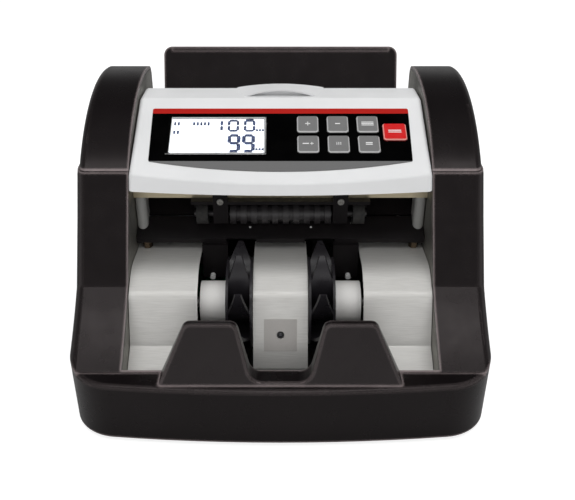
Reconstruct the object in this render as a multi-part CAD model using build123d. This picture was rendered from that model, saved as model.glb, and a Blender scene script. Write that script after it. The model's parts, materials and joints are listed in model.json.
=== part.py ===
"""Banknote counting machine: hopper at the top rear, sloping control head, stacking pocket at the front.

Millimetres, +Z up, front towards -Y, +X to the right as seen from the front.
The origin is under the middle of the machine, on the surface that it stands on.
"""

import os
from math import atan2, cos, hypot, radians, sin, sqrt

from build123d import *

os.makedirs("parts", exist_ok=True)

# ---------------------------------------------------------------- housing
BODY_WIDTH = 292.5
BODY_DEPTH = 250.0
FRONT_BOW = 9.0
FRONT_CORNER = 34.0
REAR_CORNER = 9.0
WALL = 2.5
HOUSING_BOTTOM = 3.5
POCKET_HALF = 108.5
SEAM_Z = 155.0
SEAM_GAP = 0.5
TOWER_ROUND = 7.0
DECK_ROUND = 3.0
CAP_STEP = 1.2

# side outline of the towers, from the front deck over the top to the rear
DECK_Z = 49.0
DECK_BACK = 21.0
RAMP_FOOT = (-106.0, 49.0)
RAMP_TOP = (-55.0, 86.0)
FACET_TOP = (-28.0, 128.0)
SEAM_FRONT = (-12.0, SEAM_Z)
RAMP_HOLLOW = 0.055
RAMP_CREASE_ROUND = 5.0
SEAM_ROUND = 3.0
TOWER_TOP_Z = 195.7
CROWN_APEX_Y = 86.0
TOWER_REAR_ROUND = 12.0

# stacking guards that stand on the front deck
GUARD_HEIGHT_Z = 86.0
GUARD_FRONT_TOP_Y = -101.0
GUARD_RIM = 7.0
GUARD_FRONT_LEAN = 18.0
GUARD_REAR_LEAN = 10.0
GUARD_OUTER_TOP = 64.0
GUARD_OUTER_LEAN = 17.5
GUARD_INNER_TOP = 29.5
GUARD_INNER_LEAN = 10.0
GUARD_VALLEY_Z = 51.0
GUARD_ROUND = 2.0
GUARD_TOP_ROUND = 6.0
GUARD_VALLEY_ROUND = 9.0
PACK_WALL_BOTTOM = 28.0

# ---------------------------------------------------------------- base
FOOT_HEIGHT = 4.0
FOOT_RADIUS = 9.0
FOOT_INSET_X = 112.0
FOOT_FRONT_Y = -88.0
FOOT_REAR_Y = 98.0
PAN_SHEET = 1.5
PAN_CLEARANCE = 0.4

# ---------------------------------------------------------------- steel side frames
FRAME_SHEET = 1.5
FRAME_FLANGE = 12.0
FRAME_FRONT_Y = -101.5
SIDE_CLEARANCE = 0.4

# ---------------------------------------------------------------- head
HEAD_CLEARANCE = 0.8
HEAD_WALL = 2.2
FACE_FOOT = (-17.0, 156.0)
FACE_TOP = (54.0, 186.0)
HEAD_REAR_TOP = (86.0, 184.0)
HEAD_REAR_FOOT = (77.6, 166.0)
HEAD_BOTTOM_Z = 145.0
LIP_FOOT_Y = -23.0
LIP_BOW = 6.5
HEAD_ROUND = 3.5
SKIRT_FRONT_Y = 20.0
GRIP_FRONT_Y = 58.5
GRIP_FRONT_CHORD = 57.0
GRIP_FRONT_RISE = 5.0
GRIP_REAR_CHORD = 68.8
GRIP_REAR_RISE = 3.0
GRIP_HOLLOW_CHORD = 50.0
GRIP_HOLLOW_RISE = 4.0
GRIP_HOLLOW_DEPTH = 5.0

# control panel, measured up the slope from the foot of the face
OVERLAY_HALF = 96.0
OVERLAY_TOP = 65.1
OVERLAY_SIDE_FOOT = 11.6
OVERLAY_FOOT_HALF = 94.5
OVERLAY_ARC_FOOT = 1.8
OVERLAY_SHEET = 0.5
OVERLAY_ROUND = 1.5
WINDOW_LEFT = -83.4
WINDOW_RIGHT = -10.4
WINDOW_FOOT = 18.2
WINDOW_TOP = 56.3
WINDOW_GLASS = 1.2
WINDOW_FIT = 0.15
LCD_MARGIN = 2.0
LCD_THICK = 4.0
KEY_WIDTH = 15.7
KEY_HEIGHT = 16.9
KEY_ROUND = 2.2
KEY_COLUMN = 20.1
KEY_PITCH = 22.1
KEY_UPPER = 47.6
KEY_LOWER = 27.4
START_KEY_WIDTH = 17.2
START_KEY_COLUMN = 83.9
START_KEY_ROW = 39.8
KEY_PROUD = 1.6
KEY_FIT = 0.3
KEY_FLANGE = 1.0
KEY_FLANGE_SHEET = 1.0
KEY_TRAVEL = 0.8
KEY_STEM_RADIUS = 2.5
KEY_SEAT_GAP = 0.15
BOARD_DEPTH = 9.0
BOARD_SHEET = 1.6
BOARD_GAP = 0.3
BOSS_RADIUS = 3.0

# ---------------------------------------------------------------- note path
EXIT_HIGH = (7.0, 109.0)
EXIT_LOW = (-9.5, 98.6)
EXIT_BAR_FOOT_Z = 95.2
EXIT_BAR_REAR_Y = 5.0
NOTE_GAP = 0.46
RIBBED_RADIUS = 8.0
RIB_COUNT = 10
RIB_PITCH = 7.85
RIB_WIDTH = 4.4
RIB_CORE_RADIUS = 6.2
OUTER_ROLLER_IN = 54.0
OUTER_ROLLER_OUT = 62.6
IDLER_SHAFT_RADIUS = 2.5
IDLER_SHAFT_HALF = 64.5
IDLER_ARM_IN = 38.6
IDLER_ARM_OUT = 49.4
IDLER_TAB_SHEET = 3.5
IDLER_TAB_Z = 135.5
IDLER_CAP_HALF = 65.5
IDLER_CAP_Z = 128.0
IDLER_CAP_SHEET = 2.5
TRANSPORT_RADIUS = 9.0
TRANSPORT_SHAFT_RADIUS = 3.0
TRANSPORT_TYRE_WIDTH = 12.0
TRANSPORT_TYRE_X = 14.0
FEED_CENTRE = (58.0, 114.8)
FEED_RADIUS = 22.0
FEED_SHAFT_RADIUS = 4.0
FEED_TYRE_WIDTH = 20.0
FEED_TYRE_X = 32.0
PICKUP_RADIUS = 10.5
PICKUP_SHAFT_RADIUS = 3.0
PICKUP_TYRE_WIDTH = 12.0
PICKUP_CONTACT_Y = 82.0
ROLLER_PROUD = 1.2
DECK_KNEE = (50.2, 134.1)
DECK_TAIL = (92.6, 151.2)
DECK_SHEET = 2.4
ROLLER_SLOT_GAP = 1.0
GUIDE_SHEET = 1.2
GUIDE_Z = 130.6
GUIDE_FRONT_Y = -4.5
GUIDE_REAR_Y = 34.0
BLOCK_WIDTH = 8.0
BLOCK_DEPTH = 9.0
BLOCK_Y = 1.5

# retard pad that meters the notes over the feed tyres
PAD_WIDTH = 26.0
PAD_GAP = 1.3
PAD_SHEET = 3.0
PAD_LENGTH = 12.0
PAD_Y = 52.0
HOLDER_DEPTH = 16.0
HOLDER_HEIGHT = 16.0
HOLDER_WALL = 2.5
ADJUSTER_RADIUS = 2.0
ADJUSTER_HEAD_RADIUS = 6.0
ADJUSTER_HEAD = 5.0
ADJUSTER_TRAVEL = 0.35
BRIDGE_Z = 160.0
BRIDGE_SHEET = 2.0
BRIDGE_DEPTH = 22.0

# ---------------------------------------------------------------- hopper
HOPPER_WIDTH = 192.0
HOPPER_TOP = (121.0, 206.0)
HOPPER_LEAN = 65.0
HOPPER_LENGTH = 59.0
HOPPER_SHEET = 3.0
HOPPER_CORNER = 7.0
HOPPER_BEAD = 2.2

# ---------------------------------------------------------------- stacker
STACKER_CENTRE = (-37.0, 60.0)
WHEEL_RADIUS = 46.0
WHEEL_X = 29.5
WHEEL_HALF = 9.5
WHEEL_TIP_HALF = 1.6
WHEEL_SHOULDER_HALF = 7.4
WHEEL_DISC_RADIUS = 33.6
WHEEL_DISC = 1.8
WHEEL_HUB_RADIUS = 12.0
BLADE_COUNT = 9
BLADE_SWEEP = 62.0
BLADE_REST_ANGLE = 59.0
BLADE_BELLY_RADIUS = 32.0
BLADE_BELLY_ANGLE = 21.0
BLADE_SHEET = 2.0
STACKER_SHAFT_RADIUS = 4.0
DRUM_RADIUS = 16.0
DRUM_IN = 39.9
DRUM_OUT = 58.6
PLATE_SHEET = 1.2
PLATE_SLOT_OUT = 59.3
PLATE_SLOT_IN = 19.6
PLATE_START = (4.0, 87.6)
PLATE_SHOULDER = (-38.0, 91.2)
PLATE_NOSE = (-57.5, 80.0)
PLATE_CREASE = (-71.0, 45.0)
PLATE_FLOOR = (-90.0, 34.5)
PLATE_END = (-103.4, 31.0)
TONGUE_END = (-77.5, 30.0)
TONGUE_FOOT_Z = 5.5
SENSOR_SQUARE = 16.4
SENSOR_RECESS = 0.5
SENSOR_RADIUS = 2.6
WHEEL_NOTCH_GAP = 1.6
WHEEL_NOTCH_HALF = 11.3
SLOT_BRACKET_IN = 39.6
SLOT_BRACKET_OUT = 58.8
SLOT_BRACKET_Y = -13.5
SLOT_BRACKET_SHEET = 3.0
SLOT_BRACKET_FOOT_Z = 67.0
SLOT_PIN_RADIUS = 2.0
SLOT_PIN_LENGTH = 3.5
SLOT_PIN_X = 51.5

# ---------------------------------------------------------------- drive
PULLEY_X = 114.0
PULLEY_WIDTH = 7.0
PULLEY_FLANGE = 1.2
PULLEY_RIM = 1.6
BELT_SHEET = 1.4
BELT_WIDTH = 5.0
BELT_GAP = 0.3
MOTOR_CENTRE = (76.0, 70.0)
MOTOR_RADIUS = 24.0
MOTOR_LENGTH = 62.0
MOTOR_SHAFT_RADIUS = 3.0
MOTOR_PULLEY_RADIUS = 8.0
FEED_PULLEY_RADIUS = 16.0
FEED_TAKEOFF_RADIUS = 14.0
FEED_PICKUP_RADIUS = 10.0
PULLEY_LANES = 3
PICKUP_PULLEY_RADIUS = 7.0
TRANSPORT_PULLEY_RADIUS = 5.0
STACKER_PULLEY_RADIUS = 18.0
RUNNING_FIT = 0.05
BUSH_WALL = 3.0
BUSH_FLANGE = 2.0
BUSH_FLANGE_SHEET = 1.6
CLIP_SHEET = 1.0
CLIP_RIM = 2.5

# ---------------------------------------------------------------- rear and electrics
REAR_COVER_SHEET = 2.5
REAR_SETBACK = 3.6
REAR_COVER_TOP = (100.6, 153.2)
REAR_BEND_Z = 128.0
VENT_COUNT = 9
VENT_PITCH = 8.0
VENT_WIDTH = 3.4
VENT_LENGTH = 26.0
VENT_Z = 98.0
VENT_X = 58.0
INLET_X = -78.0
INLET_Z = 40.0
INLET_WIDTH = 31.0
INLET_HEIGHT = 25.0
INLET_CAVITY_WIDTH = 24.5
INLET_CAVITY_HEIGHT = 17.0
INLET_CAVITY_DEPTH = 16.0
INLET_DEPTH = 22.0
INLET_FLANGE = 2.0
INLET_PIN_WIDTH = 2.0
INLET_PIN_HEIGHT = 4.0
INLET_PIN_LENGTH = 13.0
INLET_PIN_PITCH = 7.0
INLET_OUTER_PIN = -0.6
INLET_EARTH_PIN = 3.9
INLET_EAR = 5.0
INLET_RIM = 2.0
SWITCH_X = -50.0
SWITCH_WIDTH = 15.0
SWITCH_HEIGHT = 21.0
SWITCH_BEZEL = 2.2
SWITCH_WALL = 1.5
SWITCH_DEPTH = 16.0
ROCKER_FIT = 0.4
ROCKER_TILT = 9.0
ROCKER_PIVOT_RADIUS = 1.5
ROCKER_PIVOT_LENGTH = 0.8
ROCKER_PIVOT_DEPTH = 1.0
ROCKER_CROWN = 1.5
ROCKER_BELLY = 3.5
FUSE_X = -22.0
FUSE_RADIUS = 6.5
FUSE_CAP_LENGTH = 3.0
FUSE_CAP_LIP = 1.5
FUSE_SLOT_WIDTH = 1.4
FUSE_SLOT_DEPTH = 1.2
FUSE_BODY_LENGTH = 26.0
TRANSFORMER_X = 58.0
TRANSFORMER_Y = 84.0
TRANSFORMER_WIDTH = 60.0
TRANSFORMER_DEPTH = 34.0
TRANSFORMER_HEIGHT = 50.0
CORE_DEPTH = 22.0
CORE_LEG = 10.0
MAIN_BOARD_WIDTH = 120.0
MAIN_BOARD_DEPTH = 72.0
MAIN_BOARD_X = -42.0
MAIN_BOARD_Y = 52.0
MAIN_BOARD_Z = 14.0
BOARD_MARGIN = 6.0
CAPACITOR_RADIUS = 5.0
SCREW_HEAD_RADIUS = 3.2
SCREW_HEAD = 1.8
SCREW_SHANK_RADIUS = 1.5
SCREW_LENGTH = 5.0
SCREW_CROSS = 0.8
ARM_SCREW_RADIUS = 2.4
ARM_SCREW_Z = 131.0
REAR_SCREW_X = 99.0
REAR_SCREW_LOW = 18.0
REAR_SCREW_HIGH = 112.0
STUD_RADIUS = 3.6
STUD_LENGTH = 5.6
STUD_X = 101.0
COUNT_SENSOR_X = 23.0
COUNT_SENSOR_ALONG = 9.5
COUNT_SENSOR_DEPTH = 3.0
SENSOR_EYE_RADIUS = 1.2

# ---------------------------------------------------------------- worked out from the above
HALF_WIDTH = BODY_WIDTH / 2
FRONT_Y = -BODY_DEPTH / 2
REAR_Y = BODY_DEPTH / 2
COVER_Y = REAR_Y - REAR_SETBACK
ROCKER_PIVOT = (COVER_Y - ROCKER_PIVOT_DEPTH, INLET_Z)
HEAD_HALF = POCKET_HALF - HEAD_CLEARANCE
INNER_HALF = POCKET_HALF - SIDE_CLEARANCE
PAN_TOP_Z = FOOT_HEIGHT + PAN_SHEET
FRAME_INSET = WALL + CAP_STEP + SIDE_CLEARANCE
FACE_LENGTH = hypot(FACE_TOP[0] - FACE_FOOT[0], FACE_TOP[1] - FACE_FOOT[1])
FACE_SLOPE = atan2(FACE_TOP[1] - FACE_FOOT[1], FACE_TOP[0] - FACE_FOOT[0])
EXIT_SLOPE = atan2(EXIT_HIGH[1] - EXIT_LOW[1], EXIT_HIGH[0] - EXIT_LOW[0])
FAR = 400.0


def above_exit(distance, along=0.0):
    """Point at a distance above the exit plane; along is measured down the slope from its high edge."""
    y = EXIT_HIGH[0] - sin(EXIT_SLOPE) * distance - cos(EXIT_SLOPE) * along
    z = EXIT_HIGH[1] + cos(EXIT_SLOPE) * distance - sin(EXIT_SLOPE) * along
    return (y, z)


NIP_ALONG = 2.2
RIBBED_CENTRE = above_exit(RIBBED_RADIUS + NOTE_GAP, NIP_ALONG)
TRANSPORT_CENTRE = above_exit(-TRANSPORT_RADIUS, NIP_ALONG)
TAIL_SLOPE = atan2(DECK_TAIL[1] - DECK_KNEE[1], DECK_TAIL[0] - DECK_KNEE[0])
PICKUP_CONTACT_Z = DECK_KNEE[1] + (PICKUP_CONTACT_Y - DECK_KNEE[0]) * sin(TAIL_SLOPE) / cos(TAIL_SLOPE)
PICKUP_DROP = PICKUP_RADIUS - ROLLER_PROUD - DECK_SHEET / 2
PICKUP_CENTRE = (
    PICKUP_CONTACT_Y + sin(TAIL_SLOPE) * PICKUP_DROP,
    PICKUP_CONTACT_Z - cos(TAIL_SLOPE) * PICKUP_DROP,
)


# ---------------------------------------------------------------- helpers
def side_face(points):
    """Flat outline in the side view, from (y, z) points."""
    return make_face(Polyline(*points, close=True))


def across(sketch, x_from, x_to):
    """Side-view outline carried across the machine from one x to another."""
    return extrude(Plane.YZ.offset(x_from) * sketch, amount=x_to - x_from)


def both_sides(sketch, x_in, x_out):
    """The same side-view outline on the left and on the right."""
    return across(sketch, x_in, x_out) + across(sketch, -x_out, -x_in)


def block(x_range, y_range, z_range):
    """Plain block between six faces."""
    size = [high - low for low, high in (x_range, y_range, z_range)]
    middle = [(high + low) / 2 for low, high in (x_range, y_range, z_range)]
    return Pos(*middle) * Box(*size)


def rod(centre, radius, x_from, x_to):
    """Round bar along X at a (y, z) centre."""
    return across(Pos(*centre) * Circle(radius), x_from, x_to)


def tube(centre, radius, bore, x_from, x_to):
    """Round tube along X at a (y, z) centre."""
    return across(Pos(*centre) * (Circle(radius) - Circle(bore)), x_from, x_to)


def on_face(u, v, height=0.0):
    """Location on the sloping control face: u across, v up the slope, height above it."""
    y = FACE_FOOT[0] + v * cos(FACE_SLOPE) - height * sin(FACE_SLOPE)
    z = FACE_FOOT[1] + v * sin(FACE_SLOPE) + height * cos(FACE_SLOPE)
    return Plane(origin=(u, y, z), x_dir=(1, 0, 0), z_dir=(0, -sin(FACE_SLOPE), cos(FACE_SLOPE)))


def on_face_slab(sketch, low, high):
    """Sketch in (u, v) of the control face, made a slab between two heights above it."""
    return extrude(on_face(0, 0, low) * sketch, amount=high - low)


def save(shape, node):
    """Write one sub-part."""
    export_step(shape, f"parts/{node}.step")


# ---------------------------------------------------------------- housing outlines
def plan_outline(inset=0.0):
    """Plan of the machine: bowed front, rounded corners, straight sides and back."""
    bow = ThreePointArc(
        (-HALF_WIDTH, FRONT_Y + FRONT_BOW),
        (0, FRONT_Y),
        (HALF_WIDTH, FRONT_Y + FRONT_BOW),
    )
    rest = Polyline(
        (HALF_WIDTH, FRONT_Y + FRONT_BOW),
        (HALF_WIDTH, REAR_Y),
        (-HALF_WIDTH, REAR_Y),
        (-HALF_WIDTH, FRONT_Y + FRONT_BOW),
    )
    outline = make_face([bow.edge()] + list(rest.edges()))
    front = outline.vertices().filter_by(lambda v: v.Y < 0)
    outline = fillet(front, FRONT_CORNER)
    rear = outline.vertices().filter_by(lambda v: v.Y > REAR_Y - 1)
    outline = fillet(rear, REAR_CORNER)
    if inset:
        outline = offset(outline, amount=-inset, kind=Kind.INTERSECTION)
    return outline


def tower_outline(inset=0.0):
    """Side view of the housing: front wall, deck, hollow ramp, flat facets, round crown, rear wall."""
    ramp_sag = (RAMP_TOP[1] - RAMP_FOOT[1]) * RAMP_HOLLOW
    ramp_middle = ((RAMP_FOOT[0] + RAMP_TOP[0]) / 2, (RAMP_FOOT[1] + RAMP_TOP[1]) / 2 - ramp_sag)
    ramp = ThreePointArc(RAMP_FOOT, ramp_middle, RAMP_TOP)
    rise = TOWER_TOP_Z - SEAM_FRONT[1]
    run = CROWN_APEX_Y - SEAM_FRONT[0]
    crown_radius = (rise**2 + run**2) / (2 * rise)
    rear_z = TOWER_TOP_Z - crown_radius + sqrt(crown_radius**2 - (REAR_Y - CROWN_APEX_Y) ** 2)
    crown = ThreePointArc(SEAM_FRONT, (CROWN_APEX_Y, TOWER_TOP_Z), (REAR_Y, rear_z))
    edges = [
        Line((FRONT_Y, HOUSING_BOTTOM), (FRONT_Y, DECK_Z)),
        Line((FRONT_Y, DECK_Z), RAMP_FOOT),
        ramp,
        Line(RAMP_TOP, FACET_TOP),
        Line(FACET_TOP, SEAM_FRONT),
        crown,
        Line((REAR_Y, rear_z), (REAR_Y, HOUSING_BOTTOM)),
        Line((REAR_Y, HOUSING_BOTTOM), (FRONT_Y, HOUSING_BOTTOM)),
    ]
    outline = make_face([edge.edge() for edge in edges])
    rounds = (
        (RAMP_FOOT, RAMP_CREASE_ROUND),
        (RAMP_TOP, RAMP_CREASE_ROUND),
        (FACET_TOP, RAMP_CREASE_ROUND),
        (SEAM_FRONT, SEAM_ROUND),
        ((REAR_Y, rear_z), TOWER_REAR_ROUND),
    )
    for (y, z), radius in rounds:
        corner = outline.vertices().sort_by(lambda v: hypot(v.X - y, v.Y - z))[0]
        outline = fillet(corner, radius)
    if inset:
        outline = offset(outline, amount=-inset, kind=Kind.ARC)
    return outline


def tower_prism(inset=0.0):
    """Towers' outline carried across the machine, its outer edges rounded above the deck."""
    half = HALF_WIDTH - inset
    prism = across(tower_outline(inset), -half, half)
    rims = [
        edge for edge in prism.edges()
        if abs(edge.position_at(0.5).X) > half / 2
        and abs(edge.tangent_at(0.5).X) < 0.5
        and abs(edge.tangent_at(0.5).Z) < 0.99
        and edge.position_at(0.5).Z > DECK_Z - inset + 0.5
    ]
    return fillet(rims, TOWER_ROUND - inset)


def housing_block(inset=0.0):
    """Outside of the housing as one block: rounded front deck and the towers behind it."""
    plan = plan_outline(inset)
    towers = tower_prism(inset) & extrude(plan, amount=FAR)
    towers &= block((-FAR, FAR), (RAMP_FOOT[0], FAR), (-FAR, FAR))
    front = extrude(Pos(0, 0, HOUSING_BOTTOM) * plan, amount=DECK_Z - inset - HOUSING_BOTTOM)
    front = fillet(front.edges().group_by(Axis.Z)[-1], DECK_ROUND)
    return towers + front


def housing_cavity(inset=WALL):
    """Space inside the housing walls, open at the bottom."""
    below = block(
        (-HALF_WIDTH, HALF_WIDTH), (FRONT_Y + inset, REAR_Y - inset), (-1.0, HOUSING_BOTTOM + 2 * inset)
    )
    hollow = tower_prism(inset) + below
    return hollow & extrude(Pos(0, 0, -1.0) * plan_outline(inset), amount=FAR)


# ---------------------------------------------------------------- stacking guards
def guard_block(base_z, inset=0.0):
    """Two leaning guards joined by a low valley, carried down to base_z."""
    def lean(x_or_y, amount, top_z):
        return x_or_y + amount * (top_z - base_z) / (GUARD_HEIGHT_Z - DECK_Z)

    top = GUARD_HEIGHT_Z
    rear_top = GUARD_FRONT_TOP_Y + GUARD_RIM
    profile = side_face([
        (lean(GUARD_FRONT_TOP_Y, -GUARD_FRONT_LEAN, top), base_z),
        (GUARD_FRONT_TOP_Y, top),
        (rear_top, top),
        (lean(rear_top, -GUARD_REAR_LEAN, top), base_z),
    ])
    outer_foot = lean(GUARD_OUTER_TOP, GUARD_OUTER_LEAN, top)
    inner_foot = GUARD_INNER_TOP - GUARD_INNER_LEAN
    outline = make_face(Polyline(
        (-outer_foot, base_z),
        (-GUARD_OUTER_TOP, top),
        (-GUARD_INNER_TOP, top),
        (-inner_foot, GUARD_VALLEY_Z),
        (inner_foot, GUARD_VALLEY_Z),
        (GUARD_INNER_TOP, top),
        (GUARD_OUTER_TOP, top),
        (outer_foot, base_z),
        close=True,
    ))
    crests = outline.vertices().filter_by(lambda v: v.Y > top - 1)
    outline = fillet(crests, GUARD_TOP_ROUND)
    valley = outline.vertices().filter_by(lambda v: abs(v.Y - GUARD_VALLEY_Z) < 0.1)
    outline = fillet(valley, GUARD_VALLEY_ROUND)
    if inset:
        profile = offset(profile, amount=-inset, kind=Kind.INTERSECTION)
        outline = offset(outline, amount=-inset, kind=Kind.INTERSECTION)
    front_view = Plane.XZ.offset(FAR / 2) * outline
    guards = across(profile, -outer_foot, outer_foot) & extrude(front_view, amount=-FAR)
    if inset:
        return guards
    rims = guards.edges().filter_by(lambda edge: edge.position_at(0.5).Z > base_z + 0.5)
    return fillet(rims, GUARD_ROUND)


def lower_housing():
    """Front wall, deck, stacking guards and the lower towers, moulded as one shell."""
    shell = housing_block() - housing_cavity()
    shell -= block((-FAR, FAR), (-FAR, FAR), (SEAM_Z - SEAM_GAP, FAR))
    deck_rear = FRONT_Y + DECK_BACK
    shell -= block((-POCKET_HALF, POCKET_HALF), (deck_rear, FAR), (-FAR, FAR))
    shell += block(
        (-POCKET_HALF, POCKET_HALF), (deck_rear - WALL, deck_rear), (PACK_WALL_BOTTOM, DECK_Z)
    )
    shell += guard_block(DECK_Z - WALL)
    hollow = guard_block(PACK_WALL_BOTTOM, WALL) & block((-FAR, FAR), (-FAR, FAR), (DECK_Z - 2 * WALL, FAR))
    return shell - hollow


def top_cap(side):
    """Round top cover of one tower above the seam, set in all round from the lower housing."""
    shell = housing_block(CAP_STEP) - housing_cavity(CAP_STEP + WALL)
    low, high = sorted((side * POCKET_HALF, side * FAR))
    return shell & block((low, high), (-FAR, FAR), (SEAM_Z, FAR))


# ---------------------------------------------------------------- base
def base_pan():
    """Sheet-steel floor that drops inside the housing walls."""
    plate = extrude(Pos(0, 0, FOOT_HEIGHT) * plan_outline(WALL + PAN_CLEARANCE), amount=PAN_SHEET)
    plate -= block((-POCKET_HALF, POCKET_HALF), (COVER_Y - REAR_COVER_SHEET - PAN_CLEARANCE, FAR), (0, FAR))
    for x in range(-3, 4):
        slot = Pos(x * VENT_PITCH, MAIN_BOARD_Y, 0) * SlotOverall(VENT_LENGTH, VENT_WIDTH, 90)
        plate -= extrude(slot, amount=2 * FOOT_HEIGHT)
    return plate


def rubber_feet():
    """Four tapered rubber feet."""
    profile = make_face(Polyline(
        (0, 0),
        (FOOT_RADIUS - 1.5, 0),
        (FOOT_RADIUS, FOOT_HEIGHT),
        (0, FOOT_HEIGHT),
        close=True,
    ))
    foot = revolve(Plane.XZ * profile, Axis.Z)
    places = [(x, y) for x in (-FOOT_INSET_X, FOOT_INSET_X) for y in (FOOT_FRONT_Y, FOOT_REAR_Y)]
    return Compound([Pos(x, y, 0) * foot for x, y in places])


# ---------------------------------------------------------------- side frames and bushes
SHAFTS = {
    "feed": (FEED_CENTRE, FEED_SHAFT_RADIUS),
    "pickup": (PICKUP_CENTRE, PICKUP_SHAFT_RADIUS),
    "transport": (TRANSPORT_CENTRE, TRANSPORT_SHAFT_RADIUS),
    "stacker": (STACKER_CENTRE, STACKER_SHAFT_RADIUS),
}


def side_frame(side):
    """Steel plate inside one tower that carries the shafts, with a foot flange on the pan."""
    outline = tower_outline(FRAME_INSET)
    plate = across(outline, POCKET_HALF, POCKET_HALF + FRAME_SHEET)
    plate &= block((0, FAR), (FRAME_FRONT_Y, FAR), (PAN_TOP_Z, FAR))
    foot_top = PAN_TOP_Z + FRAME_SHEET
    foot_y = (FRAME_FRONT_Y + FRAME_INSET, REAR_Y - WALL - FRAME_INSET)
    foot = block((POCKET_HALF, POCKET_HALF + FRAME_FLANGE), foot_y, (PAN_TOP_Z, foot_top))
    plate += foot
    plate += block(
        (POCKET_HALF, POCKET_HALF + FRAME_SHEET), foot_y, (PAN_TOP_Z, PAN_TOP_Z + 2 * FRAME_INSET)
    )
    for centre, radius in SHAFTS.values():
        plate -= rod(centre, radius + BUSH_WALL, 0, FAR)
    if side < 0:
        plate -= rod(MOTOR_CENTRE, 2 * MOTOR_SHAFT_RADIUS, 0, FAR)
        plate = mirror(plate, Plane.YZ)
    return plate


def shaft_bushes():
    """Flanged bushes, one for each end of the four driven shafts."""
    bushes = []
    for centre, radius in SHAFTS.values():
        bore = radius + RUNNING_FIT
        barrel = radius + BUSH_WALL
        sleeve = tube(centre, barrel, bore, POCKET_HALF, POCKET_HALF + FRAME_SHEET)
        flange_start = POCKET_HALF + FRAME_SHEET
        sleeve += tube(
            centre, barrel + BUSH_FLANGE, bore, flange_start, flange_start + BUSH_FLANGE_SHEET
        )
        bushes += [sleeve, mirror(sleeve, Plane.YZ)]
    return Compound(bushes)


# ---------------------------------------------------------------- head
def head_block(base_z, inset=0.0):
    """Outside of the head: sloping face, level top strip, leaning rear wall and bowed front lip."""
    slope = (FACE_TOP[1] - FACE_FOOT[1]) / (FACE_TOP[0] - FACE_FOOT[0])
    rear_lean = (HEAD_REAR_TOP[0] - HEAD_REAR_FOOT[0]) / (HEAD_REAR_TOP[1] - HEAD_REAR_FOOT[1])
    lip_lean = (FACE_FOOT[0] - LIP_FOOT_Y) / (FACE_FOOT[1] - HEAD_BOTTOM_Z)
    front = LIP_FOOT_Y - 2 * LIP_BOW
    profile = side_face([
        (front, base_z),
        (front, FACE_FOOT[1] + slope * (front - FACE_FOOT[0])),
        FACE_TOP,
        HEAD_REAR_TOP,
        (HEAD_REAR_TOP[0] - rear_lean * (HEAD_REAR_TOP[1] - base_z), base_z),
    ])
    lip_y = LIP_FOOT_Y - lip_lean * (HEAD_BOTTOM_Z - base_z)
    arc = ThreePointArc((-HEAD_HALF, lip_y), (0, lip_y - LIP_BOW), (HEAD_HALF, lip_y))
    rest = Polyline((HEAD_HALF, lip_y), (HEAD_HALF, FAR), (-HEAD_HALF, FAR), (-HEAD_HALF, lip_y))
    plan = make_face([arc.edge()] + list(rest.edges()))
    if inset:
        profile = offset(profile, amount=-inset, kind=Kind.INTERSECTION)
        plan = offset(plan, amount=-inset, kind=Kind.INTERSECTION)
    climb = Vector(0, lip_lean, 1)
    prism = extrude(Pos(0, 0, base_z) * plan, amount=climb.length * FAR / 2, dir=climb)
    solid = across(profile, -HEAD_HALF, HEAD_HALF) & prism
    if inset:
        return solid
    upper = solid.edges().filter_by(lambda edge: edge.position_at(0.5).Z > base_z + 1)
    return fillet(upper, HEAD_ROUND)


def strip_height(y):
    """Height of the top strip at a depth."""
    share = (y - FACE_TOP[0]) / (HEAD_REAR_TOP[0] - FACE_TOP[0])
    return FACE_TOP[1] + share * (HEAD_REAR_TOP[1] - FACE_TOP[1])


def grip_hollow():
    """Finger hollow under the front lip of the ridge."""
    z = strip_height(GRIP_FRONT_Y)
    half = GRIP_HOLLOW_CHORD / 2
    arc = ThreePointArc((-half, z), (0, z + GRIP_HOLLOW_RISE), (half, z))
    mouth = make_face([arc.edge(), Line((half, z), (-half, z)).edge()])
    return rear_slab(mouth, GRIP_FRONT_Y - HEAD_WALL, GRIP_FRONT_Y + GRIP_HOLLOW_DEPTH)


def grip_ridge():
    """Arched ridge on the top strip, steep at the front and running out at the rear."""
    sections = []
    sink = HEAD_WALL / 2
    for y, chord, rise in (
        (GRIP_FRONT_Y, GRIP_FRONT_CHORD, GRIP_FRONT_RISE),
        (HEAD_REAR_TOP[0] - HEAD_WALL, GRIP_REAR_CHORD, GRIP_REAR_RISE),
    ):
        z = strip_height(y)
        arc = ThreePointArc((-chord / 2, z), (0, z + rise), (chord / 2, z))
        under = Polyline((chord / 2, z), (chord / 2, z - sink), (-chord / 2, z - sink), (-chord / 2, z))
        sections.append(Plane.XZ.offset(-y) * make_face([arc.edge()] + list(under.edges())))
    return loft(sections)


def key_outline(width=KEY_WIDTH, height=KEY_HEIGHT, grow=0.0):
    """Rounded key outline, grown all round by a clearance."""
    return RectangleRounded(width + 2 * grow, height + 2 * grow, KEY_ROUND + grow)


KEYS = {
    "key_plus": (KEY_COLUMN, KEY_UPPER, KEY_WIDTH),
    "key_minus": (KEY_COLUMN + KEY_PITCH, KEY_UPPER, KEY_WIDTH),
    "key_batch": (KEY_COLUMN + 2 * KEY_PITCH, KEY_UPPER, KEY_WIDTH),
    "key_add": (KEY_COLUMN, KEY_LOWER, KEY_WIDTH),
    "key_mode": (KEY_COLUMN + KEY_PITCH, KEY_LOWER, KEY_WIDTH),
    "key_check": (KEY_COLUMN + 2 * KEY_PITCH, KEY_LOWER, KEY_WIDTH),
    "key_restart": (START_KEY_COLUMN, START_KEY_ROW, START_KEY_WIDTH),
}
WINDOW_WIDTH = WINDOW_RIGHT - WINDOW_LEFT
WINDOW_HEIGHT = WINDOW_TOP - WINDOW_FOOT
WINDOW_U = (WINDOW_LEFT + WINDOW_RIGHT) / 2
WINDOW_V = (WINDOW_FOOT + WINDOW_TOP) / 2
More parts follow.
